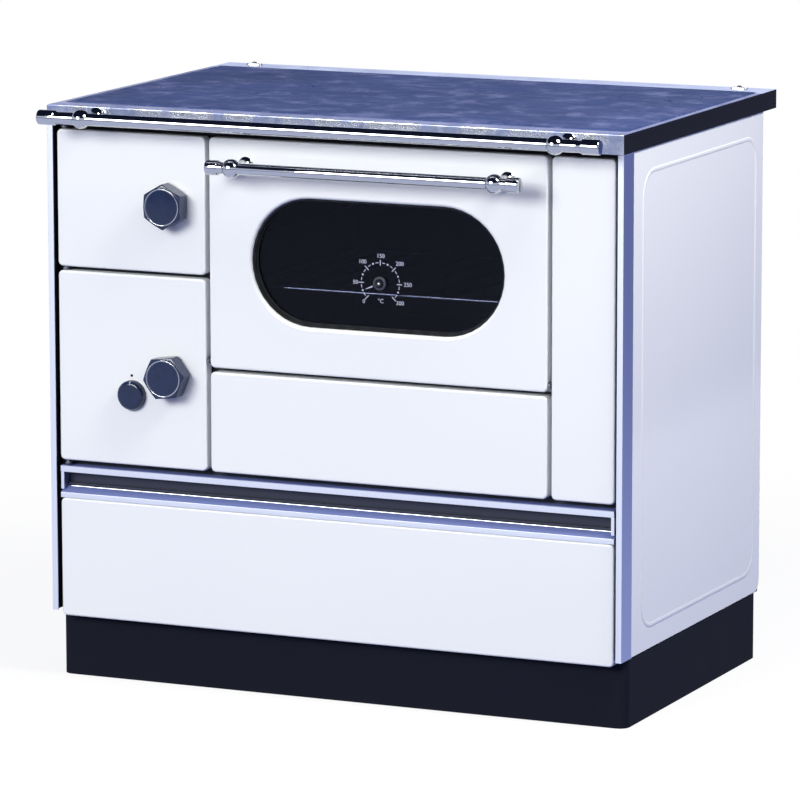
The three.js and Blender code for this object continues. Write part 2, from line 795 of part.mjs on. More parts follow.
function regulatorKnob() {
  const profile = [[0, seat], [regulatorRadius, seat]];
  for (let i = 1; i <= 4; i++) {
    const turn = ((i / 4) * Math.PI) / 2;
    const shoulder = regulatorDeep * 0.62;
    profile.push([
      regulatorRadius - shoulder * (1 - Math.cos(turn)),
      regulatorDeep - shoulder + shoulder * Math.sin(turn),
    ]);
  }
  profile.push([0, regulatorDeep]);
  const knob = turned(profile, 32).rotateX(Math.PI);
  const tick = block(
    -0.9, 0.9, -regulatorDeep - 1, -regulatorDeep + 5, regulatorRadius - 7, regulatorRadius + 1,
  );
  const bore = bar(spindleRadius - 1 + seat, 12, "y", 12);
  return cut(knob, tick, bore);
}

function airShutter() {
  const y0 = linerDeep + seat;
  const disc = turned(
    [[0, y0], [shutterRadius, y0], [shutterRadius, y0 + shutterThick], [0, y0 + shutterThick]], 32,
  );
  const shaft = bar(spindleRadius - 1, y0 + 7, "y", 12).translate(0, (y0 + 1 - 6) / 2, 0);
  return cut(join(disc, shaft), ...airHoleRingOf(6).map((way) => way.translate(0, y0, 0)));
}

function ovenDoor() {
  const rect = ovenDoorAt;
  const group = frontGroup(rect);
  const windowZ = spanZ(rect) / 2 - windowDrop - windowHeight / 2;
  const opening = roundedRect(windowWidth, windowHeight, windowHeight / 2, 10);
  const flare = roundedEdge(windowRim, 0).map(([by, z]) => [-by, z]);
  const atWindow = (solid) => toFront(solid).translate(0, 0, windowZ);
  const hole = atWindow(stack(opening, [[0, -windowFlange - 1], ...flare, [-windowRim, 1]]));
  const flange = atWindow(stack(opening, [[-doorSheet, -windowFlange], [-doorSheet, -1]]));
  const pivots = bar(pinRadius + seat, spanX(rect) + 20, "x", 12)
    .translate(0, pivotBack, -spanZ(rect) / 2 + pivotIn);
  part("oven_door_panel", cut(join(tray(rect, doorDepth), flange), hole, pivots), enamel, group);

  const sealBack = -windowFlange - seat - sealThick;
  const sealFront = sealBack + sealThick;
  const rope = cut(
    stack(opening, [[-doorSheet, sealBack], [-doorSheet, sealFront]]),
    stack(opening, [[sealWidth, sealBack - 1], [sealWidth, sealBack + 1], [sealWidth - 2, sealFront + 1]]),
  );
  const lip = cut(
    stack(opening, [[seat, sealBack + 0.1], [seat, -windowRim]]),
    stack(opening, [[sealLip, sealBack - 1], [sealLip, 0]]),
  );
  part("oven_window_seal", toFront(join(rope, lip)), ropeSeal, group, [0, 0, windowZ]);

  const glassFront = -sealBack + seat;
  const paneWidth = windowWidth + 2 * glassMargin;
  const paneHeight = windowHeight + 2 * glassMargin;
  const pane = stack(roundedRect(paneWidth, paneHeight, 6, 2), [
    [0, -glassFront - glassThick], [0, -glassFront],
  ]);
  const stemHole = bar(stemRadius + seat, 4 * linerDeep, "y", 14).translate(0, 0, -dialDrop);
  part("oven_door_glass", cut(toFront(pane), stemHole), darkGlass, group, [0, 0, windowZ]);

  const linerHole = atWindow(
    stack(opening, [[sealWidth, -linerDeep - 1], [sealWidth, -linerDeep + linerSheet + 1]]),
  );
  part("oven_door_liner", cut(liner(rect), linerHole), bareSteel, group);
  part("oven_door_gasket", gasket(rect), ropeSeal, group);

  const dial = [0, glassFront, windowZ - dialDrop];
  const hub = turned(
    [
      [0, stemLength], [stemRadius, stemLength], [stemRadius, -seat], [hubRadius, -seat],
      [hubRadius, -hubThick + 1], [hubRadius - 1, -hubThick], [0, -hubThick],
    ].reverse(),
    24,
  );
  part("thermometer_hub", hub, blackPaint, group, dial);
  part("thermometer_needle", needle(), needleWhite, group, [0, glassFront - hubThick - seat, dial[2]]);

  const handle = new THREE.Group();
  handle.position.set(0, 0, spanZ(rect) / 2 - handleDrop);
  group.add(handle);
  const grip = turnedBar(handleHalf, handleRadius, handleCap);
  part("handle_bar", grip, chromed, handle, [0, -handleStandoff - seat, 0]);
  for (const [name, side] of [["handle_post_left", -1], ["handle_post_right", 1]]) {
    part(name, turnedPost(handleStandoff, handleRadius), chromed, handle, [side * handlePostX, -seat, 0]);
  }
}

// A tapered pointer with a round boss, turned to its reading.
function needle() {
  const w = needleWidth / 2;
  const shape = new THREE.Shape();
  shape.moveTo(0.4, needleLength).lineTo(-0.4, needleLength).lineTo(-w * 0.8, w * 2);
  shape.absarc(0, 0, 2 * w, Math.PI * 0.65, Math.PI * 2.35).lineTo(0.4, needleLength);
  const pointer = frontPlate(shape, -needleThick, 0, 5);
  return pointer.rotateY(((needleAtRest - zeroMark) * Math.PI) / 180);
}

function sootPanel() {
  const rect = sootPanelAt;
  part("soot_panel", tray(rect, frameFront - face - seat), enamel, frontGroup(rect));
}

function fluePanel() {
  const rect = fluePanelAt;
  part("flue_panel", tray(rect, frameFront - face - seat), enamel, frontGroup(rect));
}

// ---- Hinge strips: flat steel on the front frame, with tabs and the pins that the doors turn on ----

const stripBack = frameFront - seat;
const pivotY = face + pivotBack;

// One strip for the two doors at the left: a tab above, between and below them, with upright pins.
function doorHingeStrip() {
  const pivotX = frontLeft + pivotIn;
  const tab = (z, down, up) => {
    const w = tabWidth / 2;
    const shape = new THREE.Shape();
    shape.moveTo(pivotX - w, stripBack).lineTo(pivotX - w, pivotY);
    shape.absarc(pivotX, pivotY, w, Math.PI, 2 * Math.PI);
    shape.lineTo(pivotX + w, stripBack).closePath();
    const leaf = new THREE.ExtrudeGeometry(shape, {
      depth: tabThick,
      bevelEnabled: false,
      curveSegments: 5,
    });
    const low = down ? -pinReach : 0;
    const high = tabThick + (up ? pinReach : 0);
    const pin = bar(pinRadius, high - low, "z", 12).translate(pivotX, pivotY, (low + high) / 2);
    return join(leaf, pin).translate(0, 0, z);
  };
  const top = doorsTop + (topGap - tabThick) / 2;
  const low = doorsLow - (drawerGap + tabThick) / 2;
  const between = ashTop + (rowGap - tabThick) / 2;
  const strip = block(
    frontLeft - stripOut, pivotX, stripBack - stripThick, stripBack,
    low - stripEnd, top + tabThick + stripEnd,
  );
  const tabs = [tab(top, true, false), tab(between, true, true), tab(low, false, true)];
  part("door_hinge_strip", join(strip, ...tabs), bareSteel);
}

// One strip under the oven door: a tab at each side of it, with level pins.
function ovenHingeStrip() {
  const pivotZ = ovenLow + pivotIn;
  const tab = (x, reach) => {
    const w = tabWidth / 2;
    const leaf = pulledAlongX(
      [
        [stripBack, pivotZ - w], [stripBack, pivotZ + w], [pivotY, pivotZ + w],
        [pivotY - w, pivotZ + w / 2], [pivotY - w, pivotZ - w / 2], [pivotY, pivotZ - w],
      ],
      x, x + tabThick,
    );
    const x0 = Math.min(x, x + tabThick + reach);
    const x1 = Math.max(x + tabThick, x + reach);
    const pin = bar(pinRadius, x1 - x0, "x", 12).translate((x0 + x1) / 2, pivotY, pivotZ);
    return join(leaf, pin);
  };
  const aside = (columnGap - tabThick) / 2;
  const left = middleLeft - columnGap + aside;
  const right = middleRight + aside;
  const strip = block(
    left, right + tabThick, stripBack - stripThick, stripBack, ovenLow - stripEnd, pivotZ,
  );
  part(
    "oven_hinge_strip", join(strip, tab(left, aside + pinReach), tab(right, -aside - pinReach)), bareSteel,
  );
}

// ---- Firebox ----

const casing = {
  x0: fireOpening.x0 - casingSide,
  x1: fireDoorAt.x1 - knobFromEdge + tongueLength + tongueWidth / 2 + tongueFree + casingSheet,
  y0: frameBack + seat,
  y1: frameBack + fireboxDepth,
  z0: ashOpening.z0 - casingSheet,
};
const within = {
  x0: casing.x0 + casingSheet,
  x1: casing.x1 - casingSheet,
  y0: casing.y0,
  y1: casing.y1 - casingSheet,
};
const grateLow = grateLevel - grateThick;

function fireboxCasing() {
  const outer = block(casing.x0, casing.x1, casing.y0, casing.y1, casing.z0, casingTop);
  const inner = block(
    within.x0, within.x1, within.y0 - 1, within.y1, casing.z0 + casingSheet, casingTop + 1,
  );
  const wedge = (side) => {
    const wall = side < 0 ? within.x0 : within.x1;
    const shape = new THREE.Shape();
    shape.moveTo(wall + side * 1, grateLow - seat).lineTo(wall - side * ledgeDeep, grateLow - seat);
    shape.lineTo(wall - side * ledgeDeep, grateLow - seat - 3);
    shape.lineTo(wall + side * 1, grateLow - seat - ledgeDeep).closePath();
    return frontPlate(shape, within.y0, within.y1);
  };
  part("firebox_casing", join(cut(outer, inner), wedge(-1), wedge(1)), castIron);
}

function bricks() {
  const low = grateLevel + seat;
  const top = casingTop - brickDrop;
  const y0 = casing.y0 + brickSetback;
  const y1 = within.y1 - seat;
  const chamfered = (x0, x1, ya, yb) =>
    stack(roundedRect(x1 - x0, yb - ya, 3, 1), [[0, low], [0, top - brickChamfer], [brickChamfer, top]])
      .translate((x0 + x1) / 2, (ya + yb) / 2, 0);
  const left = within.x0 + seat;
  const right = within.x1 - seat;
  part("firebrick_left", chamfered(left, left + brickThick, y0, y1), fireBrick);
  part("firebrick_right", chamfered(right - brickThick, right, y0, y1), fireBrick);
  part(
    "firebrick_rear",
    chamfered(left + brickThick + seat, right - brickThick - seat, y1 - brickThick, y1),
    fireBrick,
  );
}

const grateOpening = {
  x0: within.x0 + grateMargin,
  x1: within.x1 - grateMargin,
  y0: casing.y0 + 2 * grateMargin,
  y1: within.y1 - 2 * grateMargin,
};

function grateFrame() {
  const g = grateOpening;
  const plate = block(
    within.x0 + seat, within.x1 - seat, casing.y0 + 6, within.y1 - seat, grateLow, grateLevel,
  );
  const rebate = block(g.x0, g.x1, g.y0, g.y1, grateLow + grateThick / 2, grateLevel + 1);
  const through = block(
    g.x0 + grateLip, g.x1 - grateLip, g.y0 + grateLip, g.y1 - grateLip, grateLow - 1, grateLevel + 1,
  );
  part("grate_frame", cut(plate, rebate, through), castIron);
}

function grate() {
  const g = grateOpening;
  const w = g.x1 - g.x0 - 2 * running;
  const l = g.y1 - g.y0 - 2 * running;
  const shape = rectShape(-w / 2, w / 2, -l / 2, l / 2);
  const pitch = (w - 2 * grateLip - 4) / grateSlots;
  for (let i = 0; i < grateSlots; i++) {
    const x = (i - (grateSlots - 1) / 2) * pitch;
    const outline = roundedRect(grateSlotWidth, l - 2 * grateLip - 24, grateSlotWidth, 2)(0);
    shape.holes.push(new THREE.Path(outline.map((p) => new THREE.Vector2(p.x + x, p.y))));
  }
  const bars = new THREE.ExtrudeGeometry(shape, { depth: grateThick / 2 - seat, bevelEnabled: false });
  const z = grateLow + grateThick / 2 + seat;
  part("grate", bars, castIron, root, [(g.x0 + g.x1) / 2, (g.y0 + g.y1) / 2, z]);
}

function ashPan() {
  const x0 = ashOpening.x0 + ashPanSide;
  const x1 = ashOpening.x1 - ashPanSide;
  const w = x1 - x0;
  const y0 = casing.y0 + 14;
  const d = within.y1 - 20 - y0;
  const outline = roundedRect(w, d, 8, 2);
  const pan = cut(
    stack(outline, [[4, 0], [0, ashPanHeight - 3], [-3, ashPanHeight]]),
    stack(outline, [
      [4 + ashPanSheet, ashPanSheet],
      [ashPanSheet, ashPanHeight - 3],
      [ashPanSheet - 3, ashPanHeight + 1],
    ]),
  );
  const reach = ashPanGrip / 2;
  const bow = ashPanGripThick;
  const low = ashPanHeight - ashPanGripDrop;
  const grip = cut(
    block(-reach, reach, -d / 2 - 8, -d / 2 + 3, low, low + bow),
    block(bow - reach, reach - bow, bow - d / 2 - 8, -d / 2 - 2, low - 1, low + bow + 1),
  );
  const inside = stack(outline, [[4 + ashPanSheet, ashPanSheet], [ashPanSheet, ashPanHeight + 1]]);
  part(
    "ash_pan", cut(join(pan, grip), inside), bareSteel, root,
    [(x0 + x1) / 2, y0 + d / 2, ashOpening.z0 + seat],
  );
}

// ---- Oven ----

const cavity = {
  x0: ovenOpening.x0,
  x1: ovenOpening.x1,
  y0: frameBack + seat,
  y1: frameBack + ovenDepth,
  z0: ovenOpening.z0,
  z1: ovenOpening.z1,
};

const ribTop = (level) => cavity.z1 - level * spanZ(cavity);

function ovenBox() {
  const c = cavity;
  const outer = block(
    c.x0 - ovenSheet, c.x1 + ovenSheet, c.y0, c.y1 + ovenSheet, c.z0 - ovenSheet, c.z1 + ovenSheet,
  );
  const inner = block(c.x0, c.x1, c.y0 - 1, c.y1, c.z0, c.z1);
  const rib = (side, level) => {
    const wall = side < 0 ? c.x0 : c.x1;
    const z = ribTop(level);
    const shape = new THREE.Shape();
    const edge = wall - side * ribReach;
    shape.moveTo(wall + side, z).lineTo(edge, z).lineTo(edge, z - ribHeight / 2);
    shape.lineTo(wall + side, z - ribHeight).closePath();
    return frontPlate(shape, c.y0 + 10, c.y1 + 0.5);
  };
  const ribs = ribLevels.flatMap((level) => [rib(-1, level), rib(1, level)]);
  part("oven_box", join(cut(outer, inner), ...ribs), ovenEnamel);
}

function ovenRack() {
  const c = cavity;
  const x0 = c.x0 + rackSide;
  const x1 = c.x1 - rackSide;
  const y0 = c.y0 + 24;
  const y1 = c.y1 - 6;
  const z = ribTop(ribLevels.at(-1)) + rackWire + seat;
  const wires = [];
  for (const y of [y0 + rackWire, y1 - rackWire]) {
    wires.push(bar(rackWire, x1 - x0, "x", 8).translate((x0 + x1) / 2, y, z));
  }
  for (let i = 0; i < rackBars; i++) {
    const x = x0 + rackWire + ((x1 - x0 - 2 * rackWire) * i) / (rackBars - 1);
    wires.push(bar(rackWire * 0.9, y1 - y0 - 2 * rackWire, "y", 6).translate(x, (y0 + y1) / 2, z));
  }
  part("oven_rack", join(...wires), chromed);
}

// ---- Drawer ----

const boxLow = panTop + runnerRise;
const boxX = drawerOpening.x1 - drawerInset;

function drawer() {
  part("drawer_front", tray(drawerAt, doorDepth), enamel, frontGroup(drawerAt));

  const y0 = face + doorSheet + seat;
  const outline = roundedRect(2 * boxX, drawerDepth, 4, 1);
  const box = cut(
    stack(outline, [[0, 0], [0, drawerBoxHeight]]),
    stack(outline, [[drawerWall, drawerWall], [drawerWall, drawerBoxHeight + 1]]),
  );
  part("drawer_box", box, bareSteel, root, [0, y0 + drawerDepth / 2, boxLow]);

  const low = drawerFrontTop + seat;
  const top = drawerFrontTop + gripHeight;
  const lipLow = top - gripLip;
  const mouthLow = lipLow - gripMouth;
  const slopeLow = mouthLow - gripSlope;
  const back = face + gripDeep - gripWall;
  const channel = [
    [face, low], [face + gripDeep, low], [face + gripDeep, top], [face + 0.8, top], [face, top - 0.8],
    [face, lipLow], [face + gripWall, lipLow], [back, lipLow + 1], [back, mouthLow], [back - 2, mouthLow],
    [back - 6, mouthLow - 2.5], [face + gripWall, slopeLow], [face, slopeLow - 0.8],
  ].reverse();
  const profile = pulledAlongX(channel, drawerAt.x0, drawerAt.x1);
  part("drawer_grip", profile, aluminium);
  const strip = block(
    drawerAt.x0 + 4, drawerAt.x1 - 4, back - gripBackSheet - seat, back - seat,
    mouthLow + seat, lipLow - seat,
  );
  part("drawer_grip_back", strip, blackPaint);
}

function drawerRunners() {
  const top = boxLow - seat;
  const outer = boxX + running;
  const runner = (side) => {
    const section = [
      [outer + runnerSheet, panTop + seat],
      [outer + runnerSheet, top + runnerWall],
      [outer, top + runnerWall],
      [outer, top],
      [outer - runnerShelf, top],
      [outer - runnerShelf, top - runnerSheet],
      [outer, top - runnerSheet],
      [outer, panTop + seat],
    ];
    const shape = new THREE.Shape(section.map(([x, z]) => new THREE.Vector2(side * x, z)));
    return frontPlate(shape, frameBack + seat, face + drawerDepth);
  };
  part("drawer_runner_left", runner(-1), bareSteel);
  part("drawer_runner_right", runner(1), bareSteel);
}

plinth();
basePan();
sidePanel("left_side_panel", -1);
sidePanel("right_side_panel", 1);
rearPanel();
rearFlueCover();
frontFrame();
doorHingeStrip();
ovenHingeStrip();
cornerTrim("corner_trim_left", -1);
cornerTrim("corner_trim_right", 1);
hobFrame();
hobPlate();
lid("firebox_lid", fireLidRadius, fireLidX, fireLidY, -0.75);
lid("flue_lid", flueLidRadius, flueLidX, flueLidY, -0.9);
railSockets();
rail();
fireDoor();
ashDoor();
ovenDoor();
sootPanel();
fluePanel();
fireboxCasing();
bricks();
grateFrame();
grate();
ashPan();
ovenBox();
ovenRack();
drawer();
drawerRunners();

// The stove is drawn with the hob's middle at Y = 0, and then moved so that the rail counts in its depth.
root.position.y = (railStandoff + ballRadius + seat) / 2;

export default root;
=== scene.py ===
import json
import math

import bpy
from mathutils import Matrix, Vector


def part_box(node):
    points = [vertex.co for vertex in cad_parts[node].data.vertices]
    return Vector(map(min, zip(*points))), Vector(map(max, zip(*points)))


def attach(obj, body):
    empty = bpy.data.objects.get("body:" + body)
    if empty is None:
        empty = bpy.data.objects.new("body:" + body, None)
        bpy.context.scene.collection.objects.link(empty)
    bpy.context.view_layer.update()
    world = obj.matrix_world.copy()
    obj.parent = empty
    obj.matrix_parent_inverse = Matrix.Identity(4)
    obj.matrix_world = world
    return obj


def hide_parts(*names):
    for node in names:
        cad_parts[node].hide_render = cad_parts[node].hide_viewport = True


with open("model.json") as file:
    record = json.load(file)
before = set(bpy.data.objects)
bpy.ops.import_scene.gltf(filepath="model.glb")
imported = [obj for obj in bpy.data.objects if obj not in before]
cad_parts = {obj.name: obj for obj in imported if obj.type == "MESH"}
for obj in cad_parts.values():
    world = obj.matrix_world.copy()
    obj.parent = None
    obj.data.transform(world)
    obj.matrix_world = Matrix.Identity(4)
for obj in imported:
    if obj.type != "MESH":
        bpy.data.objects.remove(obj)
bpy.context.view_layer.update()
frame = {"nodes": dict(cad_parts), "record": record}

# Dressing for a white enamelled wood cookstove: finer turned and pressed pieces over the CAD solids,
# procedural finishes, a printed thermometer scale, fasteners, and a plain studio.

nodes = frame["nodes"]
bodyOf = {node: body for body, members in frame["record"]["behaviour"]["bodies"].items() for node in members}


def hexColour(text):
    channels = [int(text[i:i + 2], 16) / 255 for i in (1, 3, 5)]
    linear = [c / 12.92 if c <= 0.04045 else ((c + 0.055) / 1.055) ** 2.4 for c in channels]
    return (*linear, 1)


# A hex text among the inputs is a colour, and a socket is linked.
def addNode(tree, kind, settings=None, inputs=None):
    node = tree.nodes.new(kind)
    for key, value in (settings or {}).items():
        setattr(node, key, value)
    for key, value in (inputs or {}).items():
        if isinstance(value, bpy.types.NodeSocket):
            tree.links.new(value, node.inputs[key])
        else:
            node.inputs[key].default_value = hexColour(value) if isinstance(value, str) else value
    return node


colourMix = {"data_type": "RGBA"}


def newMaterial(name, shaderValues):
    material = bpy.data.materials.new(name)
    material.use_nodes = True
    tree = material.node_tree
    tree.nodes.clear()
    shader = addNode(tree, "ShaderNodeBsdfPrincipled", None, shaderValues)
    addNode(tree, "ShaderNodeOutputMaterial", None, {"Surface": shader.outputs["BSDF"]})
    place = addNode(tree, "ShaderNodeTexCoord").outputs["Object"]
    return material, tree, shader, place


# A finish that drifts between two tones, with a grain where the look names one. In every look a Scale
# counts the blotches in a metre, and a Mm is the size of one grain or line in millimetres.
def mottledFinish(name, look, shaderValues):
    material, tree, shader, place = newMaterial(name, shaderValues)
    mottle = addNode(tree, "ShaderNodeTexNoise", None, {
        "Vector": place, "Scale": look["mottleScale"], "Detail": look["mottleDetail"]})
    tone = addNode(tree, "ShaderNodeMix", colourMix, {
        "Factor": mottle.outputs["Fac"], "A": look["main"], "B": look["second"]})
    tree.links.new(tone.outputs["Result"], shader.inputs["Base Color"])
    if "grainMm" in look:
        grain = addNode(tree, "ShaderNodeTexNoise", None, {
            "Vector": place, "Scale": 1000 / look["grainMm"], "Detail": look["grainDetail"]})
        grainBump = addNode(tree, "ShaderNodeBump", None, {
            "Strength": look["grainBump"], "Distance": look["grainDepth"], "Height": grain.outputs["Fac"]})
        tree.links.new(grainBump.outputs["Normal"], shader.inputs["Normal"])
    if "roughFrom" in look:
        rough = addNode(tree, "ShaderNodeMapRange", None, {
            "Value": mottle.outputs["Fac"], "To Min": look["roughFrom"], "To Max": look["roughTo"]})
        tree.links.new(rough.outputs["Result"], shader.inputs["Roughness"])
    return material


# Vitreous enamel fired on pressed sheet steel: glassy white with a cool cast and the faint orange peel
# that makes reflections waver a little; the inward faces keep the dark ground coat.
enamelLook = {
    "white": "#F5F7F9", "shade": "#F0F3F7", "groundCoat": "#0E1018", "gloss": 0.13, "glassIor": 1.52,
    "cloudScale": 3.0, "peelMm": 5, "peelBump": 0.035, "peelDepth": 0.0004,
    "panelInsideX": 0.44,  # a face of a side panel that looks inwards lies this far out
}
whiteEnamel, tree, shader, place = newMaterial(
    "vitreousEnamelFired", {"Roughness": enamelLook["gloss"], "IOR": enamelLook["glassIor"]})
cloud = addNode(tree, "ShaderNodeTexNoise", None, {
    "Vector": place, "Scale": enamelLook["cloudScale"], "Detail": 2.0})
tone = addNode(tree, "ShaderNodeMix", colourMix, {
    "Factor": cloud.outputs["Fac"], "A": enamelLook["white"], "B": enamelLook["shade"]})
facing = addNode(tree, "ShaderNodeSeparateXYZ", None, {
    "Vector": addNode(tree, "ShaderNodeTexCoord").outputs["Normal"]})
where = addNode(tree, "ShaderNodeSeparateXYZ", None, {"Vector": place})
outward = addNode(tree, "ShaderNodeMath", {"operation": "MULTIPLY"}, {
    0: facing.outputs["X"], 1: where.outputs["X"]})
inSide = addNode(tree, "ShaderNodeMath", {"operation": "LESS_THAN"}, {
    0: outward.outputs["Value"], 1: -enamelLook["panelInsideX"]})
atBack = addNode(tree, "ShaderNodeMath", {"operation": "GREATER_THAN"}, {0: facing.outputs["Y"], 1: 0.5})
inward = addNode(tree, "ShaderNodeMath", {"operation": "MAXIMUM"}, {
    0: inSide.outputs["Value"], 1: atBack.outputs["Value"]})
coat = addNode(tree, "ShaderNodeMix", colourMix, {
    "Factor": inward.outputs["Value"], "A": tone.outputs["Result"], "B": enamelLook["groundCoat"]})
peel = addNode(tree, "ShaderNodeTexNoise", None, {
    "Vector": place, "Scale": 1000 / enamelLook["peelMm"], "Detail": 1.0})
wave = addNode(tree, "ShaderNodeBump", None, {
    "Strength": enamelLook["peelBump"], "Distance": enamelLook["peelDepth"], "Height": peel.outputs["Fac"]})
tree.links.new(coat.outputs["Result"], shader.inputs["Base Color"])
tree.links.new(wave.outputs["Normal"], shader.inputs["Normal"])

# Stainless sheet, ground and then buffed: mirror-like in front with long faint grinding lines and dull
# smears. Its top faces carry painted reflections and are less of a mirror: a dark painted reflection in front
# of the plate, a pale painted reflection behind it. Its side walls are black and rougher.
surroundLook = {
    "steel": "#EEF1F8", "dull": "#8F99B8", "sideBlack": "#222227", "frontTopPaintedReflection": "#5F6A9E", "rearTopPaintedReflection": "#B4C0E4",
    "rearTopY": 0.27, "topMetallic": 0.25, "sideRough": 0.5, "smearScale": 22.0,
    "lineMm": 0.8, "lineBump": 0.04, "lineDepth": 0.0003,
}
hobSurroundSteel, tree, shader, place = newMaterial("stainlessSheetBuffed", {})
stretch = addNode(tree, "ShaderNodeMapping", None, {"Vector": place, "Scale": (0.02, 1.0, 1.0)})
lines = addNode(tree, "ShaderNodeTexNoise", None, {
    "Vector": stretch.outputs["Vector"], "Scale": 1000 / surroundLook["lineMm"], "Detail": 3.0})
smears = addNode(tree, "ShaderNodeTexNoise", None, {
    "Vector": place, "Scale": surroundLook["smearScale"], "Detail": 4.0})
smearMask = addNode(tree, "ShaderNodeMapRange", None, {
    "Value": smears.outputs["Fac"], "From Min": 0.42, "From Max": 0.62})
steelTone = addNode(tree, "ShaderNodeMix", colourMix, {
    "Factor": smearMask.outputs["Result"], "A": surroundLook["steel"], "B": surroundLook["dull"]})
facing = addNode(tree, "ShaderNodeSeparateXYZ", None, {
    "Vector": addNode(tree, "ShaderNodeTexCoord").outputs["Normal"]})
sideways = addNode(tree, "ShaderNodeMath", {"operation": "ABSOLUTE"}, {0: facing.outputs["X"]})
sideMask = addNode(tree, "ShaderNodeMath", {"operation": "GREATER_THAN"}, {
    0: sideways.outputs["Value"], 1: 0.8})
where = addNode(tree, "ShaderNodeSeparateXYZ", None, {"Vector": place})
inFront = addNode(tree, "ShaderNodeMath", {"operation": "LESS_THAN"}, {
    0: where.outputs["Y"], 1: surroundLook["rearTopY"]})
onTop = addNode(tree, "ShaderNodeMath", {"operation": "GREATER_THAN"}, {0: facing.outputs["Z"], 1: 0.9})
# Top faces get painted reflections: dark in front of the plate, pale behind it.
paintedTopReflection = addNode(tree, "ShaderNodeMix", colourMix, {
    "Factor": inFront.outputs["Value"], "A": surroundLook["rearTopPaintedReflection"], "B": surroundLook["frontTopPaintedReflection"]})
faceTone = addNode(tree, "ShaderNodeMix", colourMix, {
    "Factor": onTop.outputs["Value"], "A": steelTone.outputs["Result"], "B": paintedTopReflection.outputs["Result"]})
dulled = addNode(tree, "ShaderNodeMapRange", None, {
    "Value": onTop.outputs["Value"], "To Min": 1.0, "To Max": surroundLook["topMetallic"]})
tree.links.new(dulled.outputs["Result"], shader.inputs["Metallic"])
surroundTone = addNode(tree, "ShaderNodeMix", colourMix, {
    "Factor": sideMask.outputs["Value"], "A": faceTone.outputs["Result"], "B": surroundLook["sideBlack"]})
steelRough = addNode(tree, "ShaderNodeMapRange", None, {
    "Value": smears.outputs["Fac"], "From Min": 0.3, "From Max": 0.7, "To Min": 0.16, "To Max": 0.34})
rough = addNode(tree, "ShaderNodeMix", None, {
    "Factor": sideMask.outputs["Value"], "A": steelRough.outputs["Result"], "B": surroundLook["sideRough"]})
grind = addNode(tree, "ShaderNodeBump", None, {
    "Strength": surroundLook["lineBump"], "Distance": surroundLook["lineDepth"],
    "Height": lines.outputs["Fac"]})
tree.links.new(surroundTone.outputs["Result"], shader.inputs["Base Color"])
tree.links.new(rough.outputs["Result"], shader.inputs["Roughness"])
tree.links.new(grind.outputs["Normal"], shader.inputs["Normal"])

# Cast steel cooking plate, surface-ground and heat-blued: slate blue, blotched with pale scuffs from pans
# and crossed by fine grinding scratches along its length.
plateLook = {
    "slate": "#2A3A65", "blue": "#3C4E8B", "scuff": "#A3A8DC", "metallic": 0.15, "specular": 0.35,
    "patchScale": 5.0, "blotchMm": 60, "blotchWear": 0.42, "scratchMm": 6, "scratchWear": 0.3,
    "grainMm": 1.2, "grainBump": 0.12, "grainDepth": 0.0003,
}
groundPlate, tree, shader, place = newMaterial(
    "castSteelSurfaceGround", {"Metallic": plateLook["metallic"], "Specular IOR Level": plateLook["specular"]})
blotches = addNode(tree, "ShaderNodeTexNoise", None, {
    "Vector": place, "Scale": 1000 / plateLook["blotchMm"], "Detail": 8.0, "Roughness": 0.72,
    "Distortion": 0.25})
along = addNode(tree, "ShaderNodeMapping", None, {"Vector": place, "Scale": (0.05, 1.0, 1.0)})
scratches = addNode(tree, "ShaderNodeTexNoise", None, {
    "Vector": along.outputs["Vector"], "Scale": 1000 / plateLook["scratchMm"], "Detail": 4.0, "Roughness": 0.7})
patches = addNode(tree, "ShaderNodeTexNoise", None, {
    "Vector": place, "Scale": plateLook["patchScale"], "Detail": 4.0})
slateTone = addNode(tree, "ShaderNodeMix", colourMix, {
    "Factor": patches.outputs["Fac"], "A": plateLook["slate"], "B": plateLook["blue"]})
blotchMask = addNode(tree, "ShaderNodeMapRange", None, {
    "Value": blotches.outputs["Fac"], "From Min": 0.5, "From Max": 0.72, "To Min": 0.0,
    "To Max": plateLook["blotchWear"]})
scratchMask = addNode(tree, "ShaderNodeMapRange", None, {
    "Value": scratches.outputs["Fac"], "From Min": 0.52, "From Max": 0.78, "To Min": 0.0,
    "To Max": plateLook["scratchWear"]})
worn = addNode(tree, "ShaderNodeMath", {"operation": "MAXIMUM"}, {
    0: blotchMask.outputs["Result"], 1: scratchMask.outputs["Result"]})
plateTone = addNode(tree, "ShaderNodeMix", colourMix, {
    "Factor": worn.outputs["Value"], "A": slateTone.outputs["Result"], "B": plateLook["scuff"]})
plateRough = addNode(tree, "ShaderNodeMapRange", None, {
    "Value": blotches.outputs["Fac"], "From Min": 0.35, "From Max": 0.75, "To Min": 0.68, "To Max": 0.5})
grain = addNode(tree, "ShaderNodeTexNoise", None, {
    "Vector": along.outputs["Vector"], "Scale": 1000 / plateLook["grainMm"], "Detail": 2.0})
plateBump = addNode(tree, "ShaderNodeBump", None, {
    "Strength": plateLook["grainBump"], "Distance": plateLook["grainDepth"], "Height": grain.outputs["Fac"]})
tree.links.new(plateTone.outputs["Result"], shader.inputs["Base Color"])
tree.links.new(plateRough.outputs["Result"], shader.inputs["Roughness"])
tree.links.new(plateBump.outputs["Normal"], shader.inputs["Normal"])

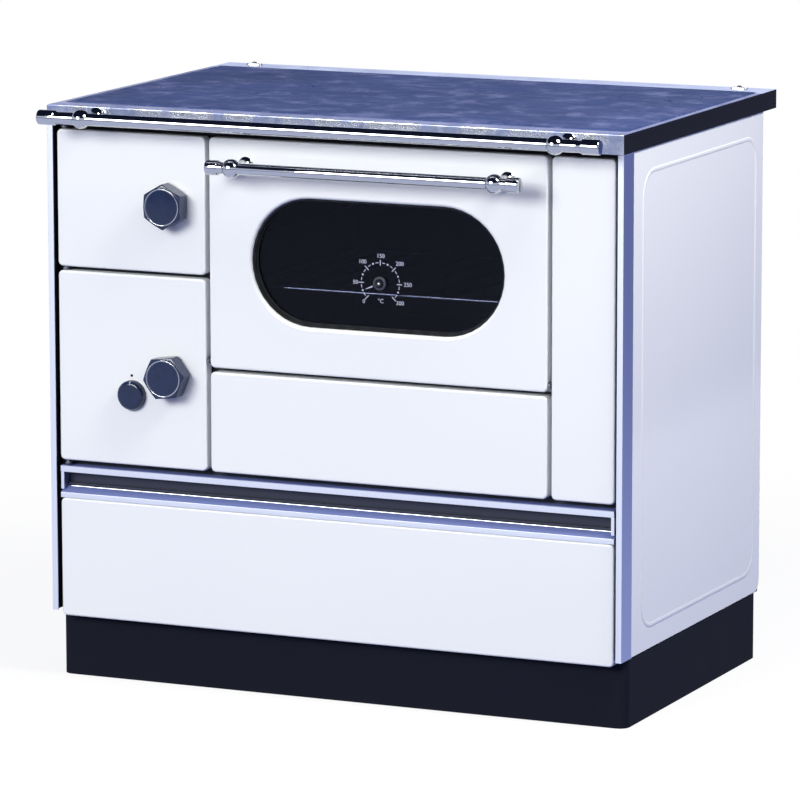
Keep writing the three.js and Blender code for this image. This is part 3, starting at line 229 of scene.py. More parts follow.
# Steel, polished and chrome plated: a clean mirror that only fingerprints soften here and there.
chromeLook = {"plate": "#C6C8CC", "smudgeMm": 25, "clean": 0.03, "fingered": 0.09}
chromePlate, tree, shader, place = newMaterial(
    "chromePlatedSteel", {"Base Color": chromeLook["plate"], "Metallic": 1.0})
smudge = addNode(tree, "ShaderNodeTexNoise", None, {
    "Vector": place, "Scale": 1000 / chromeLook["smudgeMm"], "Detail": 3.0})
chromeRough = addNode(tree, "ShaderNodeMapRange", None, {
    "Value": smudge.outputs["Fac"], "From Min": 0.4, "From Max": 0.75, "To Min": chromeLook["clean"],
    "To Max": chromeLook["fingered"]})
tree.links.new(chromeRough.outputs["Result"], shader.inputs["Roughness"])

# Extruded aluminium, satin anodised: even silver with die lines along its length; its flanks carry a painted
# bluer shade, and faces that look up carry a painted deeper blue shade and are made less of a metal for it.
aluminiumLook = {
    "silver": "#E6E9F1", "deep": "#D4D9E6", "upwardPaintedShade": "#7784BC", "flankPaintedShade": "#A4ADD7", "upwardShadeMetallic": 0.15,
    "dieLineMm": 0.7, "dieBump": 0.04, "dieDepth": 0.0002,
}
anodisedAluminium, tree, shader, place = newMaterial("aluminiumExtrudedAnodised", {})
dieWay = addNode(tree, "ShaderNodeMapping", None, {"Vector": place, "Scale": (1.0, 1.0, 0.01)})
dieLines = addNode(tree, "ShaderNodeTexNoise", None, {
    "Vector": dieWay.outputs["Vector"], "Scale": 1000 / aluminiumLook["dieLineMm"], "Detail": 2.0})
silverTone = addNode(tree, "ShaderNodeMix", colourMix, {
    "Factor": dieLines.outputs["Fac"], "A": aluminiumLook["silver"], "B": aluminiumLook["deep"]})
facing = addNode(tree, "ShaderNodeSeparateXYZ", None, {
    "Vector": addNode(tree, "ShaderNodeTexCoord").outputs["Normal"]})
sideways = addNode(tree, "ShaderNodeMath", {"operation": "ABSOLUTE"}, {0: facing.outputs["X"]})
# Faces that look sideways get a painted bluer shade.
flankShadeMask = addNode(tree, "ShaderNodeMath", {"operation": "GREATER_THAN"}, {
    0: sideways.outputs["Value"], 1: 0.9})
paintedFlankShade = addNode(tree, "ShaderNodeMix", colourMix, {
    "Factor": flankShadeMask.outputs["Value"], "A": silverTone.outputs["Result"], "B": aluminiumLook["flankPaintedShade"]})
# Faces that look up get a painted deeper blue shade, with less metal there.
lookingUp = addNode(tree, "ShaderNodeMapRange", None, {
    "Value": facing.outputs["Z"], "From Min": 0.6, "From Max": 0.75})
upwardPaintedShadeTone = addNode(tree, "ShaderNodeMix", colourMix, {
    "Factor": lookingUp.outputs["Result"], "A": paintedFlankShade.outputs["Result"], "B": aluminiumLook["upwardPaintedShade"]})
dieBump = addNode(tree, "ShaderNodeBump", None, {
    "Strength": aluminiumLook["dieBump"], "Distance": aluminiumLook["dieDepth"],
    "Height": dieLines.outputs["Fac"]})
satin = addNode(tree, "ShaderNodeMapRange", None, {
    "Value": dieLines.outputs["Fac"], "To Min": 0.4, "To Max": 0.5})
upwardShadeMetallicRamp = addNode(tree, "ShaderNodeMapRange", None, {
    "Value": facing.outputs["Z"], "From Min": 0.6, "From Max": 0.75, "To Min": 1.0,
    "To Max": aluminiumLook["upwardShadeMetallic"]})
tree.links.new(upwardShadeMetallicRamp.outputs["Result"], shader.inputs["Metallic"])
tree.links.new(upwardPaintedShadeTone.outputs["Result"], shader.inputs["Base Color"])
tree.links.new(satin.outputs["Result"], shader.inputs["Roughness"])
tree.links.new(dieBump.outputs["Normal"], shader.inputs["Normal"])

# Sheet steel, powder coated black and baked: dark and even with a fine pebbled skin.
powderLook = {
    "main": "#1B1D27", "second": "#20222E", "mottleScale": 9.0, "mottleDetail": 4.0,
    "grainMm": 0.9, "grainDetail": 1.0, "grainBump": 0.1, "grainDepth": 0.0002,
    "roughFrom": 0.5, "roughTo": 0.62,
}
powderBlack = mottledFinish("powderCoatBaked", powderLook, {"IOR": 1.5, "Specular IOR Level": 0.02})

# Hot-dip galvanised sheet: the zinc freezes in spangles of differing grey.
zincLook = {"light": "#A9AEB4", "dark": "#858B93", "metallic": 0.9, "spangleMm": 14}
galvanised, tree, shader, place = newMaterial("zincHotDipped", {"Metallic": zincLook["metallic"]})
spangle = addNode(tree, "ShaderNodeTexVoronoi", None, {"Vector": place, "Scale": 1000 / zincLook["spangleMm"]})
spangleTone = addNode(tree, "ShaderNodeSeparateColor", None, {"Color": spangle.outputs["Color"]})
zincTone = addNode(tree, "ShaderNodeMix", colourMix, {
    "Factor": spangleTone.outputs["Red"], "A": zincLook["light"], "B": zincLook["dark"]})
zincRough = addNode(tree, "ShaderNodeMapRange", None, {
    "Value": spangleTone.outputs["Green"], "To Min": 0.36, "To Max": 0.58})
tree.links.new(zincTone.outputs["Result"], shader.inputs["Base Color"])
tree.links.new(zincRough.outputs["Result"], shader.inputs["Roughness"])

# Cold-rolled sheet steel left bare: mid grey with rolling lines and a little oil staining.
bareLook = {"grey": "#8F949C", "stain": "#6F7177", "stainScale": 14.0, "rollMm": 1.0}
bareSteel, tree, shader, place = newMaterial("sheetSteelColdRolled", {"Metallic": 1.0})
rollWay = addNode(tree, "ShaderNodeMapping", None, {"Vector": place, "Scale": (0.03, 1.0, 1.0)})
rollLines = addNode(tree, "ShaderNodeTexNoise", None, {
    "Vector": rollWay.outputs["Vector"], "Scale": 1000 / bareLook["rollMm"], "Detail": 2.0})
stain = addNode(tree, "ShaderNodeTexNoise", None, {
    "Vector": place, "Scale": bareLook["stainScale"], "Detail": 5.0})
bareTone = addNode(tree, "ShaderNodeMix", colourMix, {
    "Factor": stain.outputs["Fac"], "A": bareLook["grey"], "B": bareLook["stain"]})
bareRough = addNode(tree, "ShaderNodeMapRange", None, {
    "Value": rollLines.outputs["Fac"], "To Min": 0.32, "To Max": 0.5})
tree.links.new(bareTone.outputs["Result"], shader.inputs["Base Color"])
tree.links.new(bareRough.outputs["Result"], shader.inputs["Roughness"])

# Grey iron, sand cast and stove-blacked: near black, matt, with the sand's grain on the skin.
castLook = {
    "main": "#26282C", "second": "#3D4046", "mottleScale": 18.0, "mottleDetail": 5.0,
    "grainMm": 1.6, "grainDetail": 3.0, "grainBump": 0.35, "grainDepth": 0.0004,
}
castIron = mottledFinish("greyIronSandCast", castLook, {"Metallic": 0.35, "Roughness": 0.68})

# Phenolic resin, compression moulded and tumbled: blue-black, hard and glossy, faintly wavy.
phenolicLook = {
    "main": "#15213C", "second": "#1E2F54", "mottleScale": 1000 / 9, "mottleDetail": 2.0,
    "grainMm": 9, "grainDetail": 2.0, "grainBump": 0.05, "grainDepth": 0.0005,
}
phenolic = mottledFinish("phenolicMoulded", phenolicLook, {
    "Roughness": 0.16, "IOR": 1.6, "Specular IOR Level": 0.4})

# Float glass with a smoke tint and a dimming coat against glare: clean, and dark from outside because
# little light comes back out of the oven.
glassLook = {
    "smoke": "#989DAE", "glare": "#8A8C96", "rough": 0.02, "ior": 1.47,
    "waverMm": 60, "waverBump": 0.02, "waverDepth": 0.0005,
}
smokedGlass, tree, shader, place = newMaterial("floatGlassSmoked", {
    "Base Color": glassLook["smoke"], "Roughness": glassLook["rough"], "IOR": glassLook["ior"],
    "Transmission Weight": 1.0, "Specular Tint": glassLook["glare"]})
waver = addNode(tree, "ShaderNodeTexNoise", None, {
    "Vector": place, "Scale": 1000 / glassLook["waverMm"], "Detail": 0.0})
glassBump = addNode(tree, "ShaderNodeBump", None, {
    "Strength": glassLook["waverBump"], "Distance": glassLook["waverDepth"], "Height": waver.outputs["Fac"]})
tree.links.new(glassBump.outputs["Normal"], shader.inputs["Normal"])

# Screen-printed ceramic ink, fired on the glass: pale, matt and a touch uneven.
inkLook = {"main": "#DFE3F6", "second": "#BFC5E2", "mottleScale": 700.0, "mottleDetail": 1.0}
screenInk = mottledFinish("ceramicInkScreenPrinted", inkLook, {"Roughness": 0.6})

# Brass strip, stamped and painted pale towards its tip, blacked near the hub.
hubLow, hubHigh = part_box("thermometer_hub")
needleLook = {"pale": "#C4C8DE", "black": "#14161C", "paintFrom": 0.0105, "rough": 0.45}
needlePaint, tree, shader, place = newMaterial("brassStampedPainted", {"Roughness": needleLook["rough"]})
axes = addNode(tree, "ShaderNodeSeparateXYZ", None, {"Vector": place})
fromHub = addNode(tree, "ShaderNodeCombineXYZ", None, {"X": axes.outputs["X"], "Z": axes.outputs["Z"]})
reach = addNode(tree, "ShaderNodeVectorMath", {"operation": "DISTANCE"}, {
    0: fromHub.outputs["Vector"], 1: ((hubLow.x + hubHigh.x) / 2, 0, (hubLow.z + hubHigh.z) / 2)})
painted = addNode(tree, "ShaderNodeMath", {"operation": "GREATER_THAN"}, {
    0: reach.outputs["Value"], 1: needleLook["paintFrom"]})
needleTone = addNode(tree, "ShaderNodeMix", colourMix, {
    "Factor": painted.outputs["Value"], "A": needleLook["black"], "B": needleLook["pale"]})
tree.links.new(needleTone.outputs["Result"], shader.inputs["Base Color"])

# Sheet steel, painted dark navy and stoved: satin, with a slight blue that shows in the grip's recess.
navyLook = {"main": "#22293F", "second": "#1B2135", "mottleScale": 14.0, "mottleDetail": 3.0}
navyPaint = mottledFinish("sheetSteelPainted", navyLook, {"Roughness": 0.5})

# Brass, turned and blackened: a flat dark grey with a slight mottle.
hubLook = {"main": "#393E4C", "second": "#2A2E3A", "mottleScale": 600.0, "mottleDetail": 2.0}
blackBrass = mottledFinish("brassTurnedBlackened", hubLook, {"Roughness": 0.5})

# Glass-fibre rope, knitted and graphited: charcoal, with its cords crossing aslant.
ropeLook = {
    "charcoal": "#101218", "grey": "#1E2129", "rough": 0.95, "cordMm": 3, "cordBump": 0.6, "cordDepth": 0.0008,
    "wavesPerUnit": 20,  # a wave texture draws about this many bands in a unit at scale 1
}
ropeSeal, tree, shader, place = newMaterial("glassFibreKnitted", {"Roughness": ropeLook["rough"]})
slant = addNode(tree, "ShaderNodeMapping", None, {"Vector": place, "Rotation": (0, math.radians(45), 0)})
cords = addNode(tree, "ShaderNodeTexWave", {"bands_direction": "X"}, {
    "Vector": slant.outputs["Vector"], "Scale": 1000 / ropeLook["cordMm"] / ropeLook["wavesPerUnit"],
    "Distortion": 1.0})
ropeTone = addNode(tree, "ShaderNodeMix", colourMix, {
    "Factor": cords.outputs["Fac"], "A": ropeLook["charcoal"], "B": ropeLook["grey"]})
ropeBump = addNode(tree, "ShaderNodeBump", None, {
    "Strength": ropeLook["cordBump"], "Distance": ropeLook["cordDepth"], "Height": cords.outputs["Fac"]})
tree.links.new(ropeTone.outputs["Result"], shader.inputs["Base Color"])
tree.links.new(ropeBump.outputs["Normal"], shader.inputs["Normal"])

# Fireclay, pressed and kiln fired: sandy buff with dark grog specks and soot in the hollows.
brickLook = {
    "main": "#BFA477", "second": "#6C5C48", "mottleScale": 9.0, "mottleDetail": 4.0,
    "grainMm": 4, "grainDetail": 5.0, "grainBump": 0.4, "grainDepth": 0.0008,
}
fireClay = mottledFinish("fireclayPressedFired", brickLook, {"Roughness": 0.9})

# Ground-coat enamel fired in the oven cavity: blue-black with fine pale specks.
cavityLook = {"black": "#0B0C12", "speck": "#2C303E", "speckMm": 4, "rough": 0.3, "ior": 1.5}
cavityEnamel, tree, shader, place = newMaterial(
    "groundCoatEnamelFired", {"Roughness": cavityLook["rough"], "IOR": cavityLook["ior"]})
speck = addNode(tree, "ShaderNodeTexVoronoi", None, {"Vector": place, "Scale": 1000 / cavityLook["speckMm"]})
speckMask = addNode(tree, "ShaderNodeMapRange", None, {
    "Value": speck.outputs["Distance"], "From Min": 0.06, "From Max": 0.14, "To Min": 1.0, "To Max": 0.0})
cavityTone = addNode(tree, "ShaderNodeMix", colourMix, {
    "Factor": speckMask.outputs["Result"], "A": cavityLook["black"], "B": cavityLook["speck"]})
tree.links.new(cavityTone.outputs["Result"], shader.inputs["Base Color"])
print("finishes made:", len(bpy.data.materials))

finishOf = {
    "white_enamel": whiteEnamel,
    "polished_steel": hobSurroundSteel,
    "ground_plate_steel": groundPlate,
    "bright_chrome": chromePlate,
    "satin_aluminium": anodisedAluminium,
    "black_painted_steel": powderBlack,
    "galvanised_steel": galvanised,
    "bare_steel": bareSteel,
    "grey_cast_iron": castIron,
    "dark_knob_plastic": phenolic,
    "dark_glass": smokedGlass,
    "pale_paint": needlePaint,
    "rope_seal": ropeSeal,
    "fire_clay": fireClay,
    "dark_enamel": cavityEnamel,
}
slotOf = {part["node"]: part["material_slot"] for part in frame["record"]["subparts"]}


def pick(obj):
    if bpy.context.object and bpy.context.object.mode != "OBJECT":
        bpy.ops.object.mode_set(mode="OBJECT")
    bpy.ops.object.select_all(action="DESELECT")
    obj.select_set(True)
    bpy.context.view_layer.objects.active = obj
    return obj


def clearPick():
    if bpy.context.object and bpy.context.object.mode != "OBJECT":
        bpy.ops.object.mode_set(mode="OBJECT")
    bpy.ops.object.select_all(action="DESELECT")


def settle(obj, name, finish, body, stands=()):
    pick(obj)
    bpy.ops.object.transform_apply(location=True, rotation=True, scale=True)
    for modifier in list(obj.modifiers):
        bpy.ops.object.modifier_apply(modifier=modifier.name)
    obj.name = name
    obj.data.name = name
    obj.data.materials.clear()
    obj.data.materials.append(finish)
    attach(obj, body)
    if stands:
        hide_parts(*stands)
    return obj


def roundedBlock(size, edge):
    clearPick()
    bpy.ops.mesh.primitive_cube_add(size=1)
    bpy.ops.object.mode_set(mode="EDIT")
    bpy.ops.transform.resize(value=size, center_override=(0, 0, 0))
    bpy.ops.mesh.bevel(offset=edge, segments=2, affect="EDGES")
    bpy.ops.object.mode_set(mode="OBJECT")
    return bpy.context.object


def roundedDisc(radius, depth, edge, sides=20, segments=1):
    clearPick()
    bpy.ops.mesh.primitive_cylinder_add(vertices=sides, radius=radius, depth=depth)
    bpy.ops.object.mode_set(mode="EDIT")
    bpy.ops.mesh.bevel(offset=edge, segments=segments, affect="EDGES")
    bpy.ops.object.mode_set(mode="OBJECT")
    return bpy.context.object


# Each CAD node takes the finish of its slot; the strip behind the drawer's grip has a paint of its own.
ownFinish = {"drawer_grip_back": navyPaint}
for nodeName, node in nodes.items():
    node.data.materials.clear()
    node.data.materials.append(ownFinish.get(nodeName, finishOf[slotOf[nodeName]]))


# Pressed, cast and turned pieces: a copy of the CAD node, merged, its edges broken and shaded smooth.
def smoothed(nodeName, pieceName, edge=0.0, angle=40):
    source = nodes[nodeName]
    piece = bpy.data.objects.new(pieceName, source.data.copy())
    bpy.context.scene.collection.objects.link(piece)
    pick(piece)
    bpy.ops.mesh.customdata_custom_splitnormals_clear()
    bpy.ops.object.mode_set(mode="EDIT")
    bpy.ops.mesh.select_all(action="SELECT")
    bpy.ops.mesh.remove_doubles(threshold=0.00001)
    bpy.ops.mesh.dissolve_limited(angle_limit=math.radians(0.6))
    bpy.ops.object.mode_set(mode="OBJECT")
    if edge:
        bevel = piece.modifiers.new("edgeBreak", "BEVEL")
        bevel.width = edge
        bevel.segments = 2
        bevel.limit_method = "ANGLE"
        bevel.angle_limit = math.radians(50)
        bevel.harden_normals = False
        bpy.ops.object.modifier_apply(modifier=bevel.name)
    bpy.ops.object.shade_smooth_by_angle(angle=math.radians(angle))
    flats = piece.modifiers.new("flatsKept", "WEIGHTED_NORMAL")
    flats.keep_sharp = True
    bpy.ops.object.modifier_apply(modifier=flats.name)
    slot = slotOf[nodeName]
    return settle(piece, pieceName, finishOf[slot], bodyOf[nodeName], (nodeName,))


smoothWork = {
    "fire_door_panel": ("fireDoorEnamel", 0, 40),
    "ash_door_panel": ("ashDoorEnamel", 0, 40),
    "oven_door_panel": ("ovenDoorEnamel", 0, 40),
    "soot_panel": ("cleaningPanelEnamel", 0, 40),
    "flue_panel": ("sidePanelNarrowEnamel", 0, 40),
    "drawer_front": ("drawerFrontEnamel", 0, 40),
    "left_side_panel": ("leftSideEnamel", 0, 50),
    "right_side_panel": ("rightSideEnamel", 0, 50),
    "firebox_lid": ("fireboxLidGround", 0, 30),
    "flue_lid": ("flueLidGround", 0, 30),
    "rear_flue_cover": ("rearFlueCoverPressed", 0, 50),
    "plinth": ("plinthFolded", 0, 40),
    "oven_window_seal": ("windowSealMoulded", 0, 40),
    "fire_latch": ("fireLatchTurned", 0, 40),
    "ash_latch": ("ashLatchTurned", 0, 40),
    "rear_socket_left": ("rearSocketLeftBright", 0, 50),
    "rear_socket_right": ("rearSocketRightBright", 0, 50),
    "oven_rack": ("ovenRackWires", 0, 50),
    "fire_knob": ("fireKnobHex", 0.0006, 30),
    "ash_knob": ("ashKnobHex", 0.0006, 30),
    "air_regulator_knob": ("airRegulatorDome", 0.0004, 45),
    "hob_frame": ("hobSurroundFolded", 0.0012, 40),
    "drawer_grip": ("drawerGripExtruded", 0.0005, 40),
    "corner_trim_left": ("cornerTrimLeftExtruded", 0.0005, 40),
    "corner_trim_right": ("cornerTrimRightExtruded", 0.0005, 40),
}
for nodeName, (pieceName, edge, angle) in smoothWork.items():
    smoothed(nodeName, pieceName, edge, angle)
print("smoothed pieces:", len(smoothWork))


# Turned bars and posts of the rail and the oven handle, each drawn from one profile.
def turnedPiece(profile, centre, axis, segments=48):
    clearPick()  # profile: (radius, height) pairs in metres, from one end to the other
    bpy.ops.mesh.primitive_circle_add(vertices=segments, radius=profile[0][0], fill_type="NGON")
    piece = bpy.context.object
    bpy.ops.object.mode_set(mode="EDIT")
    bpy.ops.mesh.select_all(action="SELECT")
    bpy.ops.transform.translate(value=(0, 0, profile[0][1]))
    for (lastRadius, lastHeight), (radius, height) in zip(profile, profile[1:]):
        bpy.ops.mesh.extrude_region_move(TRANSFORM_OT_translate={"value": (0, 0, height - lastHeight)})
        scale = radius / lastRadius
        bpy.ops.transform.resize(value=(scale, scale, 1), center_override=(0, 0, height))
    bpy.ops.mesh.select_all(action="SELECT")
    bpy.ops.mesh.normals_make_consistent(inside=False)
    bpy.ops.object.mode_set(mode="OBJECT")
    bpy.ops.object.shade_smooth_by_angle(angle=math.radians(32))
    turn = {"x": Matrix.Rotation(math.pi / 2, 4, "Y"), "front": Matrix.Rotation(math.pi / 2, 4, "X")}[axis]
    piece.matrix_world = Matrix.Translation(centre) @ turn
    return piece


barWork = {
    "capRadius": 0.0108, "taperLength": 0.007, "neckRadius": 0.0078, "railRadius": 0.009, "railCap": 0.027,
    "handleRadius": 0.0085, "handleCap": 0.019,
    "endRound": 0.0022, "ballRadius": 0.0139, "footRadius": 0.0115, "neck": 0.0046,
}


def barProfile(halfLength, radius, capLength):
    cap, roundness = barWork["capRadius"], barWork["endRound"]
    capStart = halfLength - capLength
    end = [(0.002, halfLength)]
    for step in range(6):
        turn = step / 5 * math.pi / 2
        end.append((cap - roundness + roundness * math.sin(turn),
                    halfLength - roundness * (1 - math.cos(turn))))
    end += [
        (cap, capStart + 0.0006), (cap - 0.0006, capStart), (cap - 0.0012, capStart - 0.0004),
        (barWork["neckRadius"] + 0.0005, capStart - barWork["taperLength"]),
        (radius, capStart - barWork["taperLength"] - 0.0006),
    ]
    return [(r, -h) for r, h in end] + [(r, h) for r, h in reversed(end)]


def postProfile(standoff):
    ball, neck, foot = barWork["ballRadius"], barWork["neck"], barWork["footRadius"]
    start = math.asin((neck + 0.0015) / ball)
    ballStart = standoff - ball * math.cos(start)
    profile = [(foot - 0.0006, 0), (foot, 0.0006), (foot, 0.0022), (foot - 0.0008, 0.0032),
               (foot - 0.003, 0.0046), (neck + 0.0022, 0.0066), (neck + 0.0006, 0.0095), (neck, 0.016),
               (neck, ballStart - 0.006), (neck + 0.0008, ballStart - 0.003),
               (neck + 0.0028, ballStart - 0.0015)]
    for step in range(17):
        turn = start + (math.pi - start) * step / 16
        profile.append((max(ball * math.sin(turn), 0.0006), standoff - ball * math.cos(turn)))
    return profile


def middle(nodeName):
    low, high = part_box(nodeName)
    return (low + high) / 2


def barAndPosts(bar, posts, radius, capLength, body):
    centre = middle(bar)
    barLow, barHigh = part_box(bar)
    piece = turnedPiece(barProfile((barHigh.x - barLow.x) / 2, radius, capLength), centre, "x")
    settle(piece, bar.replace("_", "") + "Turned", chromePlate, body, (bar,))
    for post in posts:
        low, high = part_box(post)
        foot = Vector(((low.x + high.x) / 2, high.y, (low.z + high.z) / 2))
        piece = turnedPiece(postProfile(high.y - centre.y), foot, "front")
        settle(piece, post.replace("_", "") + "Turned", chromePlate, body, (post,))


barAndPosts("rail_bar", ("rail_post_left", "rail_post_right"), barWork["railRadius"], barWork["railCap"],
            "stove_body")
barAndPosts("handle_bar", ("handle_post_left", "handle_post_right"), barWork["handleRadius"],
            barWork["handleCap"], "oven_door")
print("rail and handle turned")


# Knobs: a round insert in each hexagonal end, inside a thin bright rim.
knobWork = {"insertRadius": 0.0252, "rimRadius": 0.0270, "rimWidth": 0.0011, "rimRise": 0.0004}
for knob, body in (("fire_knob", "fire_door_latch"), ("ash_knob", "ash_door_latch")):
    faceMiddle = middle(knob)
    faceMiddle.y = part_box(knob)[0].y
    outer, rise = knobWork["rimRadius"], knobWork["rimRise"]
    inner = outer - knobWork["rimWidth"]
    piece = turnedPiece([
        (outer, -0.0006), (outer, rise * 0.3), (outer - 0.0002, rise * 0.8), (outer - 0.0004, rise),
        (inner + 0.0002, rise), (inner, rise * 0.7), (inner - 0.0001, -0.0002), (inner - 0.0002, -0.0005)],
        faceMiddle, "front", 64)
    settle(piece, knob.replace("_k", "K") + "Rim", chromePlate, body)
    insert = knobWork["insertRadius"]
    piece = turnedPiece([
        (insert, -0.0008), (insert, -0.0003), (insert - 0.0003, 0), (insert * 0.7, 0.0003),
        (insert * 0.35, 0.0005), (0.0004, 0.0005)], faceMiddle, "front", 64)
    settle(piece, knob.replace("_k", "K") + "Insert", phenolic, body)
print("knob inserts set")


# The thermometer's scale, printed on the glass: ticks, dashes, dots and numbers around the hub.
dialWork = {
    "ring": 0.0297, "tick": 0.008, "tickWidth": 0.0011, "dash": 0.0046, "dashWidth": 0.0009, "dot": 0.0014,
    "numberSize": 0.00837, "print": 0.00012, "above": 0.0002, "edgeShare": 0.3,
    "ticks": 7, "start": -135, "stride": 45, "dashesAt": (10, 35), "dotAt": 22.5,  # degrees from the top
}
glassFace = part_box("oven_door_glass")[0].y
dialCentre = Vector(((hubLow.x + hubHigh.x) / 2, glassFace - dialWork["above"], (hubLow.z + hubHigh.z) / 2))
faceForward = Matrix.Rotation(math.pi / 2, 4, "X")
prints = []


def placePrint(mark, degrees, turned=Matrix()):
    mark.matrix_world = (Matrix.Translation(dialCentre) @ Matrix.Rotation(math.radians(degrees), 4, "Y")
                         @ Matrix.Translation((0, 0, dialWork["ring"])) @ turned)
    prints.append(mark)


def printBar(wide, high, degrees):
    edge = min(wide, high) * dialWork["edgeShare"]
    placePrint(roundedBlock((wide, dialWork["print"], high), edge), degrees)


def printText(text, x, z):
    clearPick()
    bpy.ops.object.text_add()
    label = bpy.context.object
    label.data.body = text
    label.data.size = dialWork["numberSize"]
    label.data.align_x = "CENTER"
    label.data.align_y = "CENTER"
    label.data.extrude = dialWork["print"] / 2
    label.data.resolution_u = 3
    bpy.ops.object.convert(target="MESH")
    label.matrix_world = Matrix.Translation(dialCentre + Vector((x, 0, z))) @ faceForward
    prints.append(label)


for step in range(dialWork["ticks"]):
    degrees = dialWork["start"] + dialWork["stride"] * step
    printBar(dialWork["tickWidth"], dialWork["tick"], degrees)
    if step < dialWork["ticks"] - 1:
        dot = roundedDisc(dialWork["dot"], dialWork["print"], dialWork["print"] * dialWork["edgeShare"], 14)
        placePrint(dot, degrees + dialWork["dotAt"], faceForward)
        for part in dialWork["dashesAt"]:
            printBar(dialWork["dash"], dialWork["dashWidth"], degrees + part)
numberPlaces = {
    "0": (-0.0258, -0.0272), "50": (-0.0388, -0.0004), "100": (-0.0277, 0.0297), "150": (0.0006, 0.0393),
    "200": (0.0302, 0.0296), "250": (0.0427, 0.0003), "300": (0.0305, -0.0268), "°C": (0.0005, -0.0255),
}
for text, (x, z) in numberPlaces.items():
    printText(text, x, z)
pick(prints[0])
for mark in prints[1:]:
    mark.select_set(True)
bpy.ops.object.join()
settle(bpy.context.object, "thermometerScalePrint", screenInk, "oven_door")
print("thermometer scale printed:", len(prints), "marks")

# The thermometer's hub cap under the needle, and the pin that holds the needle; (radius, height) pairs.
hubWork = {
    "cap": ((0.0096, 0), (0.0100, 0.0004), (0.0100, 0.0028), (0.0094, 0.0037), (0.0086, 0.0040),
            (0.0062, 0.0036), (0.0003, 0.0034)),
    "pin": ((0.0019, 0), (0.0019, 0.0006), (0.0014, 0.0012), (0.0004, 0.0015)),
    "capAbove": 0.0003, "pinSunk": 0.0001,
}
hubFront = Vector((dialCentre.x, glassFace - hubWork["capAbove"], dialCentre.z))
piece = turnedPiece(hubWork["cap"], hubFront, "front", 40)
settle(piece, "thermometerHubCap", blackBrass, "oven_door")
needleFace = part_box("thermometer_needle")[0].y
pinFoot = Vector((dialCentre.x, needleFace + hubWork["pinSunk"], dialCentre.z))
piece = turnedPiece(hubWork["pin"], pinFoot, "front", 20)
settle(piece, "needlePin", chromePlate, "oven_thermometer")
print("thermometer hub and pin set")

# The drawer's grip: end caps, a bright bead along the slope, and a dark liner behind it.
gripWork = {
    "capWide": 0.0052, "capFront": 0.0012, "capDeep": 0.016, "capLow": 0.0125, "lip": 0.0098, "round": 0.0004,
    "bead": 0.0012, "beadFront": 0.012, "beadDrop": 0.0326, "linerRear": 0.0206, "linerTop": 0.0274,
    "linerUnder": 0.001, "gap": 0.0001,
}
gripLow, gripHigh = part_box("drawer_grip")


def gripStrip(name, low, high, finish):
    strip = roundedBlock([high[axis] - low[axis] for axis in range(3)], gripWork["round"])
    strip.matrix_world = Matrix.Translation([(low[axis] + high[axis]) / 2 for axis in range(3)])
    settle(strip, name, finish, "fuel_drawer")


face, top = gripLow.y, gripHigh.z
for near, far, capName in ((gripLow.x, gripLow.x + gripWork["capWide"], "gripCapLeft"),
                           (gripHigh.x - gripWork["capWide"], gripHigh.x, "gripCapRight")):
    gripStrip(capName, (near, face + gripWork["capFront"], gripLow.z + gripWork["capLow"]),
              (far, face + gripWork["capFront"] + gripWork["capDeep"], top - gripWork["lip"]),
              anodisedAluminium)
inside = (gripLow.x + gripWork["capWide"] + gripWork["gap"], gripHigh.x - gripWork["capWide"] - gripWork["gap"])
beadRear, beadLow = face + gripWork["beadFront"] + gripWork["bead"], top - gripWork["beadDrop"]
gripStrip("gripBead", (inside[0], face + gripWork["beadFront"], beadLow),
          (inside[1], beadRear, beadLow + gripWork["bead"]), chromePlate)
gripStrip("gripLiner", (inside[0], beadRear + gripWork["gap"], beadLow - gripWork["linerUnder"]),
          (inside[1], face + gripWork["linerRear"], top - gripWork["linerTop"]),
          navyPaint)
print("grip strips set")

# The air regulator: an index dot on the enamel and a tick on the knob.
regulatorWork = {
    "dot": 0.0021, "dotThick": 0.0003, "dotEdge": 0.0001, "dotLeft": 0.001, "dotAbove": 0.0283,
    "tick": (0.0016, 0.0036, 0.0070), "tickEdge": 0.0004, "tickSunk": 0.0035, "tickAbove": 0.0170,
}
knobLow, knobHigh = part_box("air_regulator_knob")
regulatorCentre = (knobLow + knobHigh) / 2
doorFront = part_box("ash_door_panel")[0].y
dot = roundedDisc(regulatorWork["dot"], regulatorWork["dotThick"], regulatorWork["dotEdge"])
dot.matrix_world = Matrix.Translation((
    regulatorCentre.x - regulatorWork["dotLeft"], doorFront,
    regulatorCentre.z + regulatorWork["dotAbove"])) @ faceForward
settle(dot, "airIndexDot", powderBlack, "ash_door")
tick = roundedBlock(regulatorWork["tick"], regulatorWork["tickEdge"])
tick.matrix_world = Matrix.Translation((
    regulatorCentre.x, knobLow.y + regulatorWork["tickSunk"], regulatorCentre.z + regulatorWork["tickAbove"]))
settle(tick, "airRegulatorTick", screenInk, "air_regulator")
print("air regulator marked")


# Screws of the rear panel, the flue cover and the door liners: one head is made and copied to each place.
screwWork = {
    "rise": 0.0016, "edge": 0.0005, "slotWide": 0.22, "slotLong": 1.1, "slotDeep": 0.0008,
    "rearRadius": 0.0045, "linerRadius": 0.004, "proud": 0.0006, "linerSunk": 0.0001, "linerInset": 0.028,
    "rearColumns": (-0.15, 0.15), "rearMiddle": 0.45, "rearSideInset": 0.016, "rearFootInset": 0.03,
    "rearTopInset": 0.045,
    "coverRing": 0.076, "coverTurns": (0.5, 2.6, 4.7),  # radians around the flue cover
}


